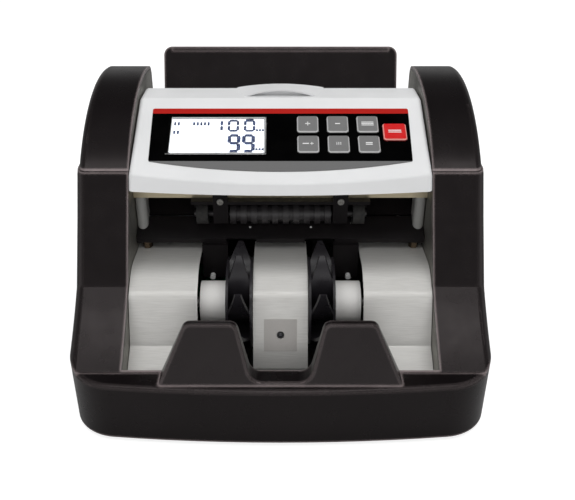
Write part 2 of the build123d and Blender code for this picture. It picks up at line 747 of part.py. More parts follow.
LCD_TOP = -HEAD_WALL - BOARD_GAP
BOARD_TOP = -BOARD_DEPTH
BOSS_PLACES = [(u, v) for u in (-92.0, 0.0, 98.0) for v in (14.0, 62.0)]


def head_cover():
    """White head moulding with its display window, key holes and board bosses."""
    shell = head_block(HEAD_BOTTOM_Z) - head_block(HEAD_BOTTOM_Z - FAR / 20, HEAD_WALL)
    shell -= block((-FAR, FAR), (SKIRT_FRONT_Y, FAR), (-FAR, HEAD_REAR_FOOT[1]))
    shell += grip_ridge()
    shell -= grip_hollow()
    hole = Pos(WINDOW_U, WINDOW_V) * Rectangle(
        WINDOW_WIDTH - 2 * LCD_MARGIN, WINDOW_HEIGHT - 2 * LCD_MARGIN
    )
    for u, v, width in KEYS.values():
        hole += Pos(u, v) * key_outline(width, grow=KEY_FIT)
    shell -= on_face_slab(hole, -2 * HEAD_WALL, HEAD_WALL)
    for u, v in BOSS_PLACES:
        shell += on_face_slab(Pos(u, v) * Circle(BOSS_RADIUS), BOARD_TOP, -HEAD_WALL / 2)
    return shell


def control_overlay():
    """Printed film on the sloping face, arched along its foot, with window and key openings."""
    edges = [
        Line((-OVERLAY_FOOT_HALF, OVERLAY_SIDE_FOOT), (-OVERLAY_HALF, OVERLAY_TOP)),
        Line((-OVERLAY_HALF, OVERLAY_TOP), (OVERLAY_HALF, OVERLAY_TOP)),
        Line((OVERLAY_HALF, OVERLAY_TOP), (OVERLAY_FOOT_HALF, OVERLAY_SIDE_FOOT)),
        ThreePointArc(
            (OVERLAY_FOOT_HALF, OVERLAY_SIDE_FOOT), (0, OVERLAY_ARC_FOOT), (-OVERLAY_FOOT_HALF, OVERLAY_SIDE_FOOT)
        ),
    ]
    film = make_face([edge.edge() for edge in edges])
    film = fillet(film.vertices(), OVERLAY_ROUND)
    film -= Pos(WINDOW_U, WINDOW_V) * Rectangle(WINDOW_WIDTH, WINDOW_HEIGHT)
    for u, v, width in KEYS.values():
        film -= Pos(u, v) * key_outline(width, grow=KEY_FIT)
    return on_face_slab(film, 0.0, OVERLAY_SHEET)


def display_window():
    """Clear window that fills the opening of the film."""
    pane = Rectangle(WINDOW_WIDTH - 2 * WINDOW_FIT, WINDOW_HEIGHT - 2 * WINDOW_FIT)
    return on_face_slab(Pos(WINDOW_U, WINDOW_V) * pane, 0.0, WINDOW_GLASS)


def display_module():
    """Liquid-crystal module behind the window, standing on the display board."""
    glass = Rectangle(
        WINDOW_WIDTH - 2 * LCD_MARGIN - 2 * WINDOW_FIT,
        WINDOW_HEIGHT - 2 * LCD_MARGIN - 2 * WINDOW_FIT,
    )
    case = Rectangle(WINDOW_WIDTH + 2 * LCD_MARGIN, WINDOW_HEIGHT + 2 * LCD_MARGIN)
    place = Pos(WINDOW_U, WINDOW_V)
    body = on_face_slab(place * case, BOARD_TOP, LCD_TOP)
    return body + on_face_slab(place * glass, LCD_TOP, -OVERLAY_SHEET)


def display_board():
    """Circuit board under the face with a switch under each key."""
    board = Pos(0, WINDOW_V) * Rectangle(2 * OVERLAY_HALF + 12.0, 58.0)
    return on_face_slab(board, BOARD_TOP - BOARD_SHEET, BOARD_TOP)


def key(u, v, width):
    """Key cap with a domed rim, retaining flange and stem."""
    cap = on_face_slab(Pos(u, v) * key_outline(width), -HEAD_WALL - KEY_SEAT_GAP, OVERLAY_SHEET + KEY_PROUD)
    rim = cap.faces().sort_by(lambda f: f.center().Z - f.center().Y * sin(FACE_SLOPE))[-1]
    cap = chamfer(rim.edges(), KEY_PROUD / 2)
    flange = key_outline(width, grow=KEY_FIT + KEY_FLANGE)
    flange_top = -HEAD_WALL - KEY_SEAT_GAP
    cap += on_face_slab(Pos(u, v) * flange, flange_top - KEY_FLANGE_SHEET, flange_top)
    stem_foot = BOARD_TOP + KEY_TRAVEL + KEY_FIT
    cap += on_face_slab(Pos(u, v) * Circle(KEY_STEM_RADIUS), stem_foot, flange_top)
    return cap


# ---------------------------------------------------------------- note path
def exit_bar():
    """Lower exit guide: sloping top with roller slots, notched for the stacker wheels."""
    profile = side_face([
        EXIT_HIGH,
        EXIT_LOW,
        (EXIT_LOW[0], EXIT_BAR_FOOT_Z),
        (EXIT_BAR_REAR_Y, EXIT_BAR_FOOT_Z),
        (EXIT_BAR_REAR_Y, EXIT_HIGH[1] - DECK_SHEET),
        (EXIT_HIGH[0], EXIT_HIGH[1] - DECK_SHEET),
    ])
    bar = across(profile, -INNER_HALF, INNER_HALF)
    for x_from, x_to in tyre_spans():
        bar -= rod(
            TRANSPORT_CENTRE, TRANSPORT_RADIUS + ROLLER_SLOT_GAP, x_from - ROLLER_SLOT_GAP, x_to + ROLLER_SLOT_GAP
        )
    bar -= rod(TRANSPORT_CENTRE, TRANSPORT_SHAFT_RADIUS + ROLLER_SLOT_GAP, -FAR, FAR)
    for x in (-WHEEL_X, WHEEL_X):
        bar -= rod(STACKER_CENTRE, WHEEL_RADIUS + WHEEL_NOTCH_GAP, x - WHEEL_NOTCH_HALF, x + WHEEL_NOTCH_HALF)
    for x in (-COUNT_SENSOR_X, COUNT_SENSOR_X):
        bar -= sensor_plug(x, SENSOR_EYE_RADIUS + RUNNING_FIT)
    return bar


def tyre_spans():
    """Widths of the transport tyres from left to right."""
    half = TRANSPORT_TYRE_WIDTH / 2
    middle = [(x - half, x + half) for x in (-TRANSPORT_TYRE_X, TRANSPORT_TYRE_X)]
    outer = [(OUTER_ROLLER_IN, OUTER_ROLLER_OUT), (-OUTER_ROLLER_OUT, -OUTER_ROLLER_IN)]
    return middle + outer


def driven_shaft(name):
    """Shaft through both side frames: long at the drive side, clipped outside both bushes."""
    centre, radius = SHAFTS[name]
    bush_end = POCKET_HALF + FRAME_SHEET + BUSH_FLANGE_SHEET + BELT_GAP
    free_end = bush_end + 2 * CLIP_SHEET
    shaft = rod(centre, radius, -PULLEY_X - PULLEY_LANES * PULLEY_WIDTH - CLIP_SHEET, free_end)
    clip = tube(centre, radius + CLIP_RIM, radius, bush_end, bush_end + CLIP_SHEET)
    return shaft + clip + mirror(clip, Plane.YZ)


def transport_rollers():
    """Four rubber tyres on the transport shaft."""
    return Compound([
        tube(TRANSPORT_CENTRE, TRANSPORT_RADIUS, TRANSPORT_SHAFT_RADIUS, x_from, x_to)
        for x_from, x_to in tyre_spans()
    ])


def ribbed_roller():
    """Upper exit roller: ribbed barrel moulded on its long journal."""
    half = (RIB_COUNT - 1) * RIB_PITCH / 2 + RIB_WIDTH / 2
    roller = rod(RIBBED_CENTRE, IDLER_SHAFT_RADIUS, -IDLER_SHAFT_HALF, IDLER_SHAFT_HALF)
    roller += rod(RIBBED_CENTRE, RIB_CORE_RADIUS, -half, half)
    for index in range(RIB_COUNT):
        x = (index - (RIB_COUNT - 1) / 2) * RIB_PITCH
        roller += rod(RIBBED_CENTRE, RIBBED_RADIUS, x - RIB_WIDTH / 2, x + RIB_WIDTH / 2)
    return roller


def end_rollers():
    """Plain rubber rollers at the ends of the idler shaft."""
    spans = [(OUTER_ROLLER_IN, OUTER_ROLLER_OUT), (-OUTER_ROLLER_OUT, -OUTER_ROLLER_IN)]
    return Compound(
        [tube(RIBBED_CENTRE, RIBBED_RADIUS, IDLER_SHAFT_RADIUS, low, high) for low, high in spans]
    )


def roller_frame():
    """Cap over the exit rollers with two hanging arms that carry the idler shaft."""
    y, z = RIBBED_CENTRE
    depth = RIBBED_RADIUS + IDLER_CAP_SHEET + 1.0
    cap = block((-IDLER_CAP_HALF, IDLER_CAP_HALF), (y - depth, y + depth), (IDLER_CAP_Z, IDLER_CAP_Z + IDLER_CAP_SHEET))
    rear_y = y + depth
    cap += block(
        (-IDLER_CAP_HALF, IDLER_CAP_HALF),
        (rear_y - IDLER_CAP_SHEET, rear_y),
        (z, IDLER_CAP_Z),
    )
    arm_face = side_face([
        (y - depth, IDLER_CAP_Z),
        (y - depth, z - IDLER_SHAFT_RADIUS),
        (y - IDLER_SHAFT_RADIUS, z - 2 * IDLER_SHAFT_RADIUS),
        (y + IDLER_SHAFT_RADIUS, z - 2 * IDLER_SHAFT_RADIUS),
        (rear_y, z),
        (rear_y, IDLER_CAP_Z),
    ])
    cap += both_sides(arm_face, IDLER_ARM_IN, IDLER_ARM_OUT)
    for side in (-1, 1):
        low, high = sorted((side * IDLER_ARM_IN, side * IDLER_ARM_OUT))
        cap += block((low, high), (y - depth, y - depth + IDLER_TAB_SHEET), (z, IDLER_TAB_Z))
    cap -= rod(RIBBED_CENTRE, IDLER_SHAFT_RADIUS + RUNNING_FIT, -FAR, FAR)
    return cap - screw_holes(screw_places()[1])


def upper_guide():
    """Bright upper guide sheet across the throat, under the head."""
    sheet = block((-INNER_HALF, INNER_HALF), (GUIDE_FRONT_Y, GUIDE_REAR_Y), (GUIDE_Z, GUIDE_Z + GUIDE_SHEET))
    lip = block(
        (-INNER_HALF, INNER_HALF),
        (GUIDE_FRONT_Y, GUIDE_FRONT_Y + GUIDE_SHEET),
        (GUIDE_Z, GUIDE_Z + 4 * GUIDE_SHEET),
    )
    return sheet + lip


def end_blocks():
    """Round-nosed blocks that stand on the ends of the exit bar and hold the upper guide."""
    under_path = across(
        side_face([above_exit(0, FAR / 4), above_exit(0, -FAR / 4), above_exit(-FAR / 4, -FAR / 4)]), -FAR, FAR
    )
    blocks = []
    for side in (-1, 1):
        x = side * (INNER_HALF - BLOCK_WIDTH / 2)
        plan = Pos(x, BLOCK_Y) * (
            Circle(BLOCK_WIDTH / 2) + Pos(0, BLOCK_DEPTH / 2) * Rectangle(BLOCK_WIDTH, BLOCK_DEPTH)
        )
        post = extrude(Pos(0, 0, EXIT_BAR_FOOT_Z) * plan, amount=GUIDE_Z - EXIT_BAR_FOOT_Z)
        blocks.append(post - under_path)
    return blocks


def feed_deck():
    """Moulded deck from the hopper foot over the feed tyres to the exit bar."""
    clear = 1.0 + DECK_SHEET / 2
    line = Polyline(DECK_TAIL, DECK_KNEE, above_exit(-DECK_SHEET / 2, -clear))
    deck = across(trace(line, DECK_SHEET), -INNER_HALF, INNER_HALF)
    for x_from, x_to in tyre_spans():
        deck -= rod(
            TRANSPORT_CENTRE, TRANSPORT_RADIUS + ROLLER_SLOT_GAP, x_from - ROLLER_SLOT_GAP, x_to + ROLLER_SLOT_GAP
        )
    for x in (-FEED_TYRE_X, FEED_TYRE_X):
        reach = FEED_TYRE_WIDTH / 2 + ROLLER_SLOT_GAP
        deck -= rod(FEED_CENTRE, FEED_RADIUS + PAD_GAP + PAD_SHEET, x - reach, x + reach)
    for x in pickup_places():
        reach = PICKUP_TYRE_WIDTH / 2 + ROLLER_SLOT_GAP
        deck -= rod(PICKUP_CENTRE, PICKUP_RADIUS + ROLLER_SLOT_GAP, x - reach, x + reach)
    return deck


def pickup_places():
    """Pick-up tyres stand outside the feed tyres."""
    x = FEED_TYRE_X + FEED_TYRE_WIDTH / 2 + PICKUP_TYRE_WIDTH
    return (-x, x)


def feed_rollers():
    """Two feed wheels: hub with a ribbed rubber tyre."""
    wheels = []
    for x in (-FEED_TYRE_X, FEED_TYRE_X):
        half = FEED_TYRE_WIDTH / 2
        wheels.append(tube(FEED_CENTRE, FEED_RADIUS, FEED_SHAFT_RADIUS, x - half, x + half))
    return Compound(wheels)


def pickup_rollers():
    """Two small pick-up tyres at the hopper foot."""
    half = PICKUP_TYRE_WIDTH / 2
    return Compound([
        tube(PICKUP_CENTRE, PICKUP_RADIUS, PICKUP_SHAFT_RADIUS, x - half, x + half) for x in pickup_places()
    ])


# ---------------------------------------------------------------- retard pad
PAD_TOP_Z = FEED_CENTRE[1] + FEED_RADIUS + PAD_GAP + PAD_SHEET


def pad_holder():
    """Sliding holder with the rubber pad's seat, hollow above."""
    y = PAD_Y
    half = HOLDER_DEPTH / 2
    body = block((-PAD_WIDTH / 2, PAD_WIDTH / 2), (y - half, y + half), (PAD_TOP_Z, PAD_TOP_Z + HOLDER_HEIGHT))
    body -= block(
        (-PAD_WIDTH / 2 + HOLDER_WALL, PAD_WIDTH / 2 - HOLDER_WALL),
        (y - half + HOLDER_WALL, y + half - HOLDER_WALL),
        (PAD_TOP_Z + HOLDER_WALL, FAR),
    )
    wing = FEED_TYRE_X + FEED_TYRE_WIDTH / 2
    body += block((-wing, wing), (y - half, y + half), (PAD_TOP_Z, PAD_TOP_Z + HOLDER_WALL))
    return body


def retard_pads():
    """Rubber pads over the two feed tyres, hollowed to the tyre."""
    y = PAD_Y
    half = PAD_LENGTH / 2
    pads = []
    for x in (-FEED_TYRE_X, FEED_TYRE_X):
        reach = FEED_TYRE_WIDTH / 2
        pad = block((x - reach, x + reach), (y - half, y + half), (FEED_CENTRE[1], PAD_TOP_Z))
        pads.append(pad - rod(FEED_CENTRE, FEED_RADIUS + PAD_GAP, -FAR, FAR))
    return pads


def pad_bridge():
    """Steel bridge between the side frames that the adjusting screw turns in."""
    y = PAD_Y
    half = BRIDGE_DEPTH / 2
    bridge = block((-INNER_HALF, INNER_HALF), (y - half, y + half), (BRIDGE_Z, BRIDGE_Z + BRIDGE_SHEET))
    bore = Pos(0, y, BRIDGE_Z) * Cylinder(ADJUSTER_RADIUS + RUNNING_FIT, 4 * BRIDGE_SHEET)
    return bridge - bore


def adjusting_screw():
    """Thumb screw that sets the pad gap: head above the bridge, shank down to the holder."""
    y = PAD_Y
    head_foot = BRIDGE_Z + BRIDGE_SHEET + BELT_GAP / 3
    head = extrude(Pos(0, y, head_foot) * Circle(ADJUSTER_HEAD_RADIUS), amount=ADJUSTER_HEAD)
    foot = PAD_TOP_Z + HOLDER_WALL + ADJUSTER_TRAVEL + BELT_GAP
    shank = extrude(Pos(0, y, foot) * Circle(ADJUSTER_RADIUS), amount=head_foot - foot)
    return head + shank


# ---------------------------------------------------------------- hopper and rear
def hopper_plane():
    """Plane of the hopper plate: origin at its top edge, x across, y up the plate."""
    lean = radians(HOPPER_LEAN)
    return Plane(origin=(0, HOPPER_TOP[0], HOPPER_TOP[1]), x_dir=(1, 0, 0), z_dir=(0, -sin(lean), cos(lean)))


def hopper_plate():
    """Leaning back plate with a round bead along its top edge."""
    outline = Pos(0, -HOPPER_LENGTH / 2) * Rectangle(HOPPER_WIDTH, HOPPER_LENGTH)
    top = outline.vertices().filter_by(lambda v: v.Y > -1)
    outline = fillet(top, HOPPER_CORNER)
    plate = extrude(hopper_plane() * outline, amount=-HOPPER_SHEET)
    span = HOPPER_WIDTH / 2 - HOPPER_CORNER
    lean = radians(HOPPER_LEAN)
    centre = (
        HOPPER_TOP[0] - cos(lean) * HOPPER_BEAD + sin(lean) * HOPPER_SHEET / 2,
        HOPPER_TOP[1] - sin(lean) * HOPPER_BEAD - cos(lean) * HOPPER_SHEET / 2,
    )
    return plate + rod(centre, HOPPER_BEAD, -span, span)


def rear_cover():
    """Back cover between the towers: vents, inlet, switch and fuse openings."""
    line = FilletPolyline(
        (COVER_Y - REAR_COVER_SHEET / 2, FOOT_HEIGHT),
        (COVER_Y - REAR_COVER_SHEET / 2, REAR_BEND_Z),
        REAR_COVER_TOP,
        radius=12.0,
    )
    cover = across(trace(line, REAR_COVER_SHEET), -INNER_HALF, INNER_HALF)
    vents = Sketch()
    for side in (-1, 1):
        for index in range(VENT_COUNT):
            x = side * (VENT_X + (index - (VENT_COUNT - 1) / 2) * VENT_PITCH)
            vents += Pos(x, VENT_Z) * SlotOverall(VENT_LENGTH, VENT_WIDTH, 90)
    openings = vents
    openings += Pos(INLET_X, INLET_Z) * Rectangle(INLET_WIDTH, INLET_HEIGHT)
    openings += Pos(SWITCH_X, INLET_Z) * Rectangle(SWITCH_WIDTH, SWITCH_HEIGHT)
    openings += Pos(FUSE_X, INLET_Z) * Circle(FUSE_RADIUS)
    cutter = extrude(Plane.XZ.offset(-COVER_Y - 1) * openings, amount=3 * REAR_COVER_SHEET)
    return cover - cutter - screw_holes(screw_places()[0])


def rear_slab(sketch, y_from, y_to):
    """Sketch in the rear view's (x, z), made a slab between two depths."""
    return extrude(Plane.XZ.offset(-y_from) * sketch, amount=y_from - y_to)


def power_inlet():
    """Three-pin mains inlet with its flange on the back cover."""
    place = Pos(INLET_X, INLET_Z)
    case = Rectangle(INLET_WIDTH - 2 * WINDOW_FIT, INLET_HEIGHT - 2 * WINDOW_FIT)
    flange = RectangleRounded(INLET_WIDTH + 2 * INLET_EAR, INLET_HEIGHT + 2 * INLET_RIM, INLET_FLANGE)
    body = rear_slab(place * case, COVER_Y - INLET_DEPTH, COVER_Y)
    body += rear_slab(place * flange, COVER_Y, COVER_Y + INLET_FLANGE)
    floor_y = COVER_Y + INLET_FLANGE - INLET_CAVITY_DEPTH
    cavity = place * Rectangle(INLET_CAVITY_WIDTH, INLET_CAVITY_HEIGHT)
    body -= rear_slab(cavity, floor_y, COVER_Y + 2 * INLET_FLANGE)
    pin = Rectangle(INLET_PIN_WIDTH, INLET_PIN_HEIGHT)
    outer_pins = [(side * INLET_PIN_PITCH, INLET_OUTER_PIN) for side in (-1, 1)]
    for dx, dz in outer_pins + [(0, INLET_EARTH_PIN)]:
        body += rear_slab(place * Pos(dx, dz) * pin, floor_y - INLET_FLANGE, floor_y + INLET_PIN_LENGTH)
    return body


def switch_body():
    """Case of the rocker switch with its bezel on the back cover and the rocker's pivot holes."""
    place = Pos(SWITCH_X, INLET_Z)
    case = Rectangle(SWITCH_WIDTH - 2 * WINDOW_FIT, SWITCH_HEIGHT - 2 * WINDOW_FIT)
    bezel = RectangleRounded(SWITCH_WIDTH + 2 * SWITCH_BEZEL, SWITCH_HEIGHT + 2 * SWITCH_BEZEL, SWITCH_WALL)
    well = Rectangle(SWITCH_WIDTH - 2 * SWITCH_WALL, SWITCH_HEIGHT - 2 * SWITCH_WALL)
    body = rear_slab(place * case, COVER_Y - SWITCH_DEPTH, COVER_Y)
    body += rear_slab(place * bezel, COVER_Y, COVER_Y + INLET_FLANGE)
    body -= rear_slab(place * well, COVER_Y - SWITCH_DEPTH + INLET_FLANGE, COVER_Y + 2 * INLET_FLANGE)
    reach = SWITCH_WIDTH / 2 - SWITCH_WALL + ROCKER_PIVOT_LENGTH + RUNNING_FIT
    pivot_hole = rod(
        ROCKER_PIVOT, ROCKER_PIVOT_RADIUS + RUNNING_FIT, SWITCH_X - reach, SWITCH_X + reach
    )
    return body - pivot_hole


def power_entry():
    """Mains inlet and switch case moulded as one module behind a common flange."""
    gap = Rectangle(SWITCH_X - INLET_X - INLET_WIDTH / 2 - SWITCH_WIDTH / 2, SWITCH_HEIGHT)
    middle = (INLET_X + INLET_WIDTH / 2 + SWITCH_X - SWITCH_WIDTH / 2) / 2
    bridge = rear_slab(Pos(middle, INLET_Z) * gap, COVER_Y, COVER_Y + INLET_FLANGE)
    return power_inlet() + switch_body() + bridge


def power_rocker():
    """Rocker with a shallow V front and two pivot journals, resting on its off side."""
    half_width = SWITCH_WIDTH / 2 - SWITCH_WALL - ROCKER_FIT
    half = SWITCH_HEIGHT / 2 - SWITCH_WALL - 2 * ROCKER_FIT
    end = ROCKER_CROWN + half * sin(radians(ROCKER_TILT))
    outline = make_face(Polyline(
        (0, -half), (end, -half), (ROCKER_CROWN, 0), (end, half), (0, half), (-ROCKER_BELLY, 0), close=True
    ))
    bar = across(outline, -half_width, half_width)
    reach = half_width + ROCKER_FIT + ROCKER_PIVOT_LENGTH
    bar += rod((0, 0), ROCKER_PIVOT_RADIUS, -reach, reach)
    return Pos(SWITCH_X, *ROCKER_PIVOT) * Rot(-ROCKER_TILT, 0, 0) * bar


def fuse_cap():
    """Bayonet fuse holder."""
    place = Pos(FUSE_X, INLET_Z)
    holder = rear_slab(place * Circle(FUSE_RADIUS - WINDOW_FIT), COVER_Y - FUSE_BODY_LENGTH, COVER_Y)
    cap = rear_slab(place * Circle(FUSE_RADIUS + FUSE_CAP_LIP), COVER_Y, COVER_Y + FUSE_CAP_LENGTH)
    slot = rear_slab(
        place * Rectangle(2 * FUSE_RADIUS, FUSE_SLOT_WIDTH),
        COVER_Y + FUSE_CAP_LENGTH - FUSE_SLOT_DEPTH,
        COVER_Y + 2 * FUSE_CAP_LENGTH,
    )
    return holder + (cap - slot)


def transformer():
    """Mains transformer: laminated core round a wound bobbin, standing on the pan."""
    core = block(
        (TRANSFORMER_X - TRANSFORMER_WIDTH / 2, TRANSFORMER_X + TRANSFORMER_WIDTH / 2),
        (TRANSFORMER_Y - CORE_DEPTH / 2, TRANSFORMER_Y + CORE_DEPTH / 2),
        (PAN_TOP_Z, PAN_TOP_Z + TRANSFORMER_HEIGHT),
    )
    coil = block(
        (TRANSFORMER_X - TRANSFORMER_WIDTH / 3, TRANSFORMER_X + TRANSFORMER_WIDTH / 3),
        (TRANSFORMER_Y - TRANSFORMER_DEPTH / 2, TRANSFORMER_Y + TRANSFORMER_DEPTH / 2),
        (PAN_TOP_Z + CORE_LEG, PAN_TOP_Z + TRANSFORMER_HEIGHT - CORE_LEG),
    )
    return core + fillet(coil.edges().filter_by(Axis.Z), CORE_LEG / 2)


def main_board():
    """Main circuit board on four spacers, with its larger parts."""
    x_range = (MAIN_BOARD_X - MAIN_BOARD_WIDTH / 2, MAIN_BOARD_X + MAIN_BOARD_WIDTH / 2)
    y_range = (MAIN_BOARD_Y - MAIN_BOARD_DEPTH / 2, MAIN_BOARD_Y + MAIN_BOARD_DEPTH / 2)
    top = MAIN_BOARD_Z + BOARD_SHEET
    board = block(x_range, y_range, (MAIN_BOARD_Z, top))
    for x in (x_range[0] + BOARD_MARGIN, x_range[1] - BOARD_MARGIN):
        for y in (y_range[0] + BOARD_MARGIN, y_range[1] - BOARD_MARGIN):
            board += extrude(Pos(x, y, PAN_TOP_Z) * Circle(BOSS_RADIUS), amount=MAIN_BOARD_Z - PAN_TOP_Z)
    for share, width in ((0.2, 16.0), (0.5, 22.0), (0.8, 14.0)):
        x = x_range[0] + share * MAIN_BOARD_WIDTH
        across = (x - width / 2, x + width / 2)
        along = (MAIN_BOARD_Y - width / 2, MAIN_BOARD_Y + width / 2)
        board += block(across, along, (top, top + width / 4))
    for share in (0.35, 0.65):
        x = x_range[0] + share * MAIN_BOARD_WIDTH
        board += extrude(Pos(x, MAIN_BOARD_Y, top) * Circle(CAPACITOR_RADIUS), amount=3 * CAPACITOR_RADIUS)
    return board


# ---------------------------------------------------------------- small fixings
def bar_studs():
    """Brass studs under the ends of the exit bar."""
    y = EXIT_LOW[0] + STUD_RADIUS + 1.0
    studs = []
    for side in (-1, 1):
        plan = Pos(side * STUD_X, y) * RegularPolygon(STUD_RADIUS, 6)
        studs.append(extrude(Pos(0, 0, EXIT_BAR_FOOT_Z - STUD_LENGTH) * plan, amount=STUD_LENGTH))
    return studs


def screw_places():
    """Screws in the back cover, as (x, y of the face, z, way that the head faces)."""
    back = [(x, COVER_Y, z, 1) for x in (-REAR_SCREW_X, REAR_SCREW_X) for z in (REAR_SCREW_LOW, REAR_SCREW_HIGH)]
    arm_x = (IDLER_ARM_IN + IDLER_ARM_OUT) / 2
    arm_y = RIBBED_CENTRE[0] - RIBBED_RADIUS - IDLER_CAP_SHEET - 1.0
    arms = [(x, arm_y, ARM_SCREW_Z, -1) for x in (-arm_x, arm_x)]
    return back, arms


def screw(x, y, z, way):
    """Pan-head screw with a cross recess; the head stands on the face at y."""
    radius = SCREW_HEAD_RADIUS if way > 0 else ARM_SCREW_RADIUS
    head = rear_slab(Pos(x, z) * Circle(radius), *sorted((y, y + way * SCREW_HEAD)))
    shank = rear_slab(Pos(x, z) * Circle(SCREW_SHANK_RADIUS), *sorted((y, y - way * SCREW_LENGTH)))
    cross = Pos(x, z) * (Rectangle(radius, SCREW_CROSS) + Rectangle(SCREW_CROSS, radius))
    return head + shank - rear_slab(cross, *sorted((y + way * SCREW_HEAD / 2, y + way * 2 * SCREW_HEAD)))


def screw_holes(places):
    """Clearance holes for a group of screws."""
    holes = Part()
    for x, y, z, way in places:
        span = sorted((y + way, y - way * (SCREW_LENGTH + 1)))
        holes += rear_slab(Pos(x, z) * Circle(SCREW_SHANK_RADIUS + RUNNING_FIT), *span)
    return holes


def count_sensors():
    """Two note-counting sensors sunk in the sloping top of the exit bar."""
    return [sensor_plug(x, SENSOR_EYE_RADIUS) for x in (-COUNT_SENSOR_X, COUNT_SENSOR_X)]


def sensor_plug(x, radius):
    """Round plug square to the exit plane, flush with the bar's top."""
    middle = above_exit(0, COUNT_SENSOR_ALONG)
    plane = Plane(
        origin=(x, middle[0], middle[1]),
        x_dir=(1, 0, 0),
        z_dir=(0, -sin(EXIT_SLOPE), cos(EXIT_SLOPE)),
    )
    return extrude(plane * Circle(radius), amount=-COUNT_SENSOR_DEPTH)


# ---------------------------------------------------------------- stacker
def plate_line(end_points):
    """Bent sheet line of the stacker plates."""
    points = [PLATE_START, PLATE_SHOULDER, PLATE_NOSE] + end_points
    radii = [26.0, 9.0] + [2.0] * (len(end_points) - 1)
    return FilletPolyline(*points, radius=radii)


def side_plates():
    """Bright stacker plates beside the drums, bent down to the pocket floor."""
    sheet = trace(plate_line([PLATE_CREASE, PLATE_FLOOR, PLATE_END]), PLATE_SHEET)
    return [across(sheet, PLATE_SLOT_OUT, INNER_HALF), across(sheet, -INNER_HALF, -PLATE_SLOT_OUT)]


def centre_plate():
    """Middle stacker plate with the square recess of the pocket sensor."""
    line = plate_line([TONGUE_END, (TONGUE_END[0], TONGUE_FOOT_Z)])
    sheet = across(trace(line, PLATE_SHEET), -PLATE_SLOT_IN, PLATE_SLOT_IN)
    recess = tongue_slab(Rectangle(SENSOR_SQUARE, SENSOR_SQUARE), PLATE_SHEET / 2 - SENSOR_RECESS, PLATE_SHEET)
    hole = tongue_slab(Circle(SENSOR_RADIUS + WINDOW_FIT), -PLATE_SHEET, PLATE_SHEET)
    return sheet - recess - hole


def tongue_slab(sketch, low, high):
    """Slab square to the tongue of the centre plate, centred on the pocket sensor."""
    share = 0.54
    y = PLATE_NOSE[0] + share * (TONGUE_END[0] - PLATE_NOSE[0])
    z = PLATE_NOSE[1] + share * (TONGUE_END[1] - PLATE_NOSE[1])
    tilt = atan2(PLATE_NOSE[0] - TONGUE_END[0], PLATE_NOSE[1] - TONGUE_END[1])
    plane = Plane(origin=(0, y, z), x_dir=(1, 0, 0), z_dir=(0, -cos(tilt), sin(tilt)))
    return extrude(plane.offset(low) * sketch, amount=high - low)


def pocket_sensor():
    """Reflective sensor behind the centre plate, looking into the pocket."""
    pocket = tongue_slab(Circle(SENSOR_RADIUS), -4.0, 0.0)
    body = tongue_slab(Rectangle(12.0, 9.0), -8.0, -PLATE_SHEET / 2 - WINDOW_FIT)
    return pocket + body


def stacker_wheel(side):
    """Stacking wheel: hub, two side discs and curved blades whose tips narrow to a point."""
    x = side * WHEEL_X
    blade = trace(blade_curve(), BLADE_SHEET)
    pattern = Sketch()
    for index in range(BLADE_COUNT):
        pattern += Rot(0, 0, BLADE_REST_ANGLE + index * 360 / BLADE_COUNT) * blade
    pattern += Circle(WHEEL_HUB_RADIUS + BLADE_SHEET)
    pattern -= Circle(STACKER_SHAFT_RADIUS)
    solid = across(Pos(*STACKER_CENTRE) * pattern, x - WHEEL_HALF, x + WHEEL_HALF)
    for start in (x - WHEEL_HALF, x + WHEEL_HALF - WHEEL_DISC):
        solid += tube(STACKER_CENTRE, WHEEL_DISC_RADIUS, STACKER_SHAFT_RADIUS, start, start + WHEEL_DISC)
    half = [
        (0, WHEEL_HALF),
        (WHEEL_DISC_RADIUS, WHEEL_HALF),
        (WHEEL_DISC_RADIUS, WHEEL_SHOULDER_HALF),
        (WHEEL_RADIUS, WHEEL_TIP_HALF),
    ]
    envelope = make_face(Polyline(*half, *[(r, -w) for r, w in reversed(half)], close=True))
    turned = revolve(Plane.YX * envelope, Axis.X)
    return solid & (Pos(x, STACKER_CENTRE[0], STACKER_CENTRE[1]) * turned)


def blade_curve():
    """Blade whose tip lies on the first axis; its root is swept round behind it."""
    root_angle = radians(BLADE_SWEEP)
    belly_angle = radians(BLADE_BELLY_ANGLE)
    return ThreePointArc(
        (WHEEL_HUB_RADIUS * cos(root_angle), WHEEL_HUB_RADIUS * sin(root_angle)),
        (BLADE_BELLY_RADIUS * cos(belly_angle), BLADE_BELLY_RADIUS * sin(belly_angle)),
        (WHEEL_RADIUS - BLADE_SHEET / 2, 0),
    )


def stacker_drums():
    """Bright note drums outside the stacking wheels."""
    drums = []
    for side in (-1, 1):
        low, high = sorted((side * DRUM_IN, side * DRUM_OUT))
        drums.append(tube(STACKER_CENTRE, DRUM_RADIUS, STACKER_SHAFT_RADIUS, low, high))
    return Compound(drums)


def slot_brackets():
    """Dark wipers that hang from the exit bar behind the drums, each with a white pin."""
    rear = SLOT_BRACKET_Y + SLOT_BRACKET_SHEET
    hook_y = EXIT_LOW[0] + 3 * SLOT_BRACKET_SHEET
    brackets = []
    for side in (-1, 1):
        low, high = sorted((side * SLOT_BRACKET_IN, side * SLOT_BRACKET_OUT))
        piece = block((low, high), (SLOT_BRACKET_Y, rear), (SLOT_BRACKET_FOOT_Z, EXIT_BAR_FOOT_Z))
        piece += block((low, high), (SLOT_BRACKET_Y, hook_y), (EXIT_BAR_FOOT_Z - SLOT_BRACKET_SHEET, EXIT_BAR_FOOT_Z))
        brackets.append(piece)
    return brackets


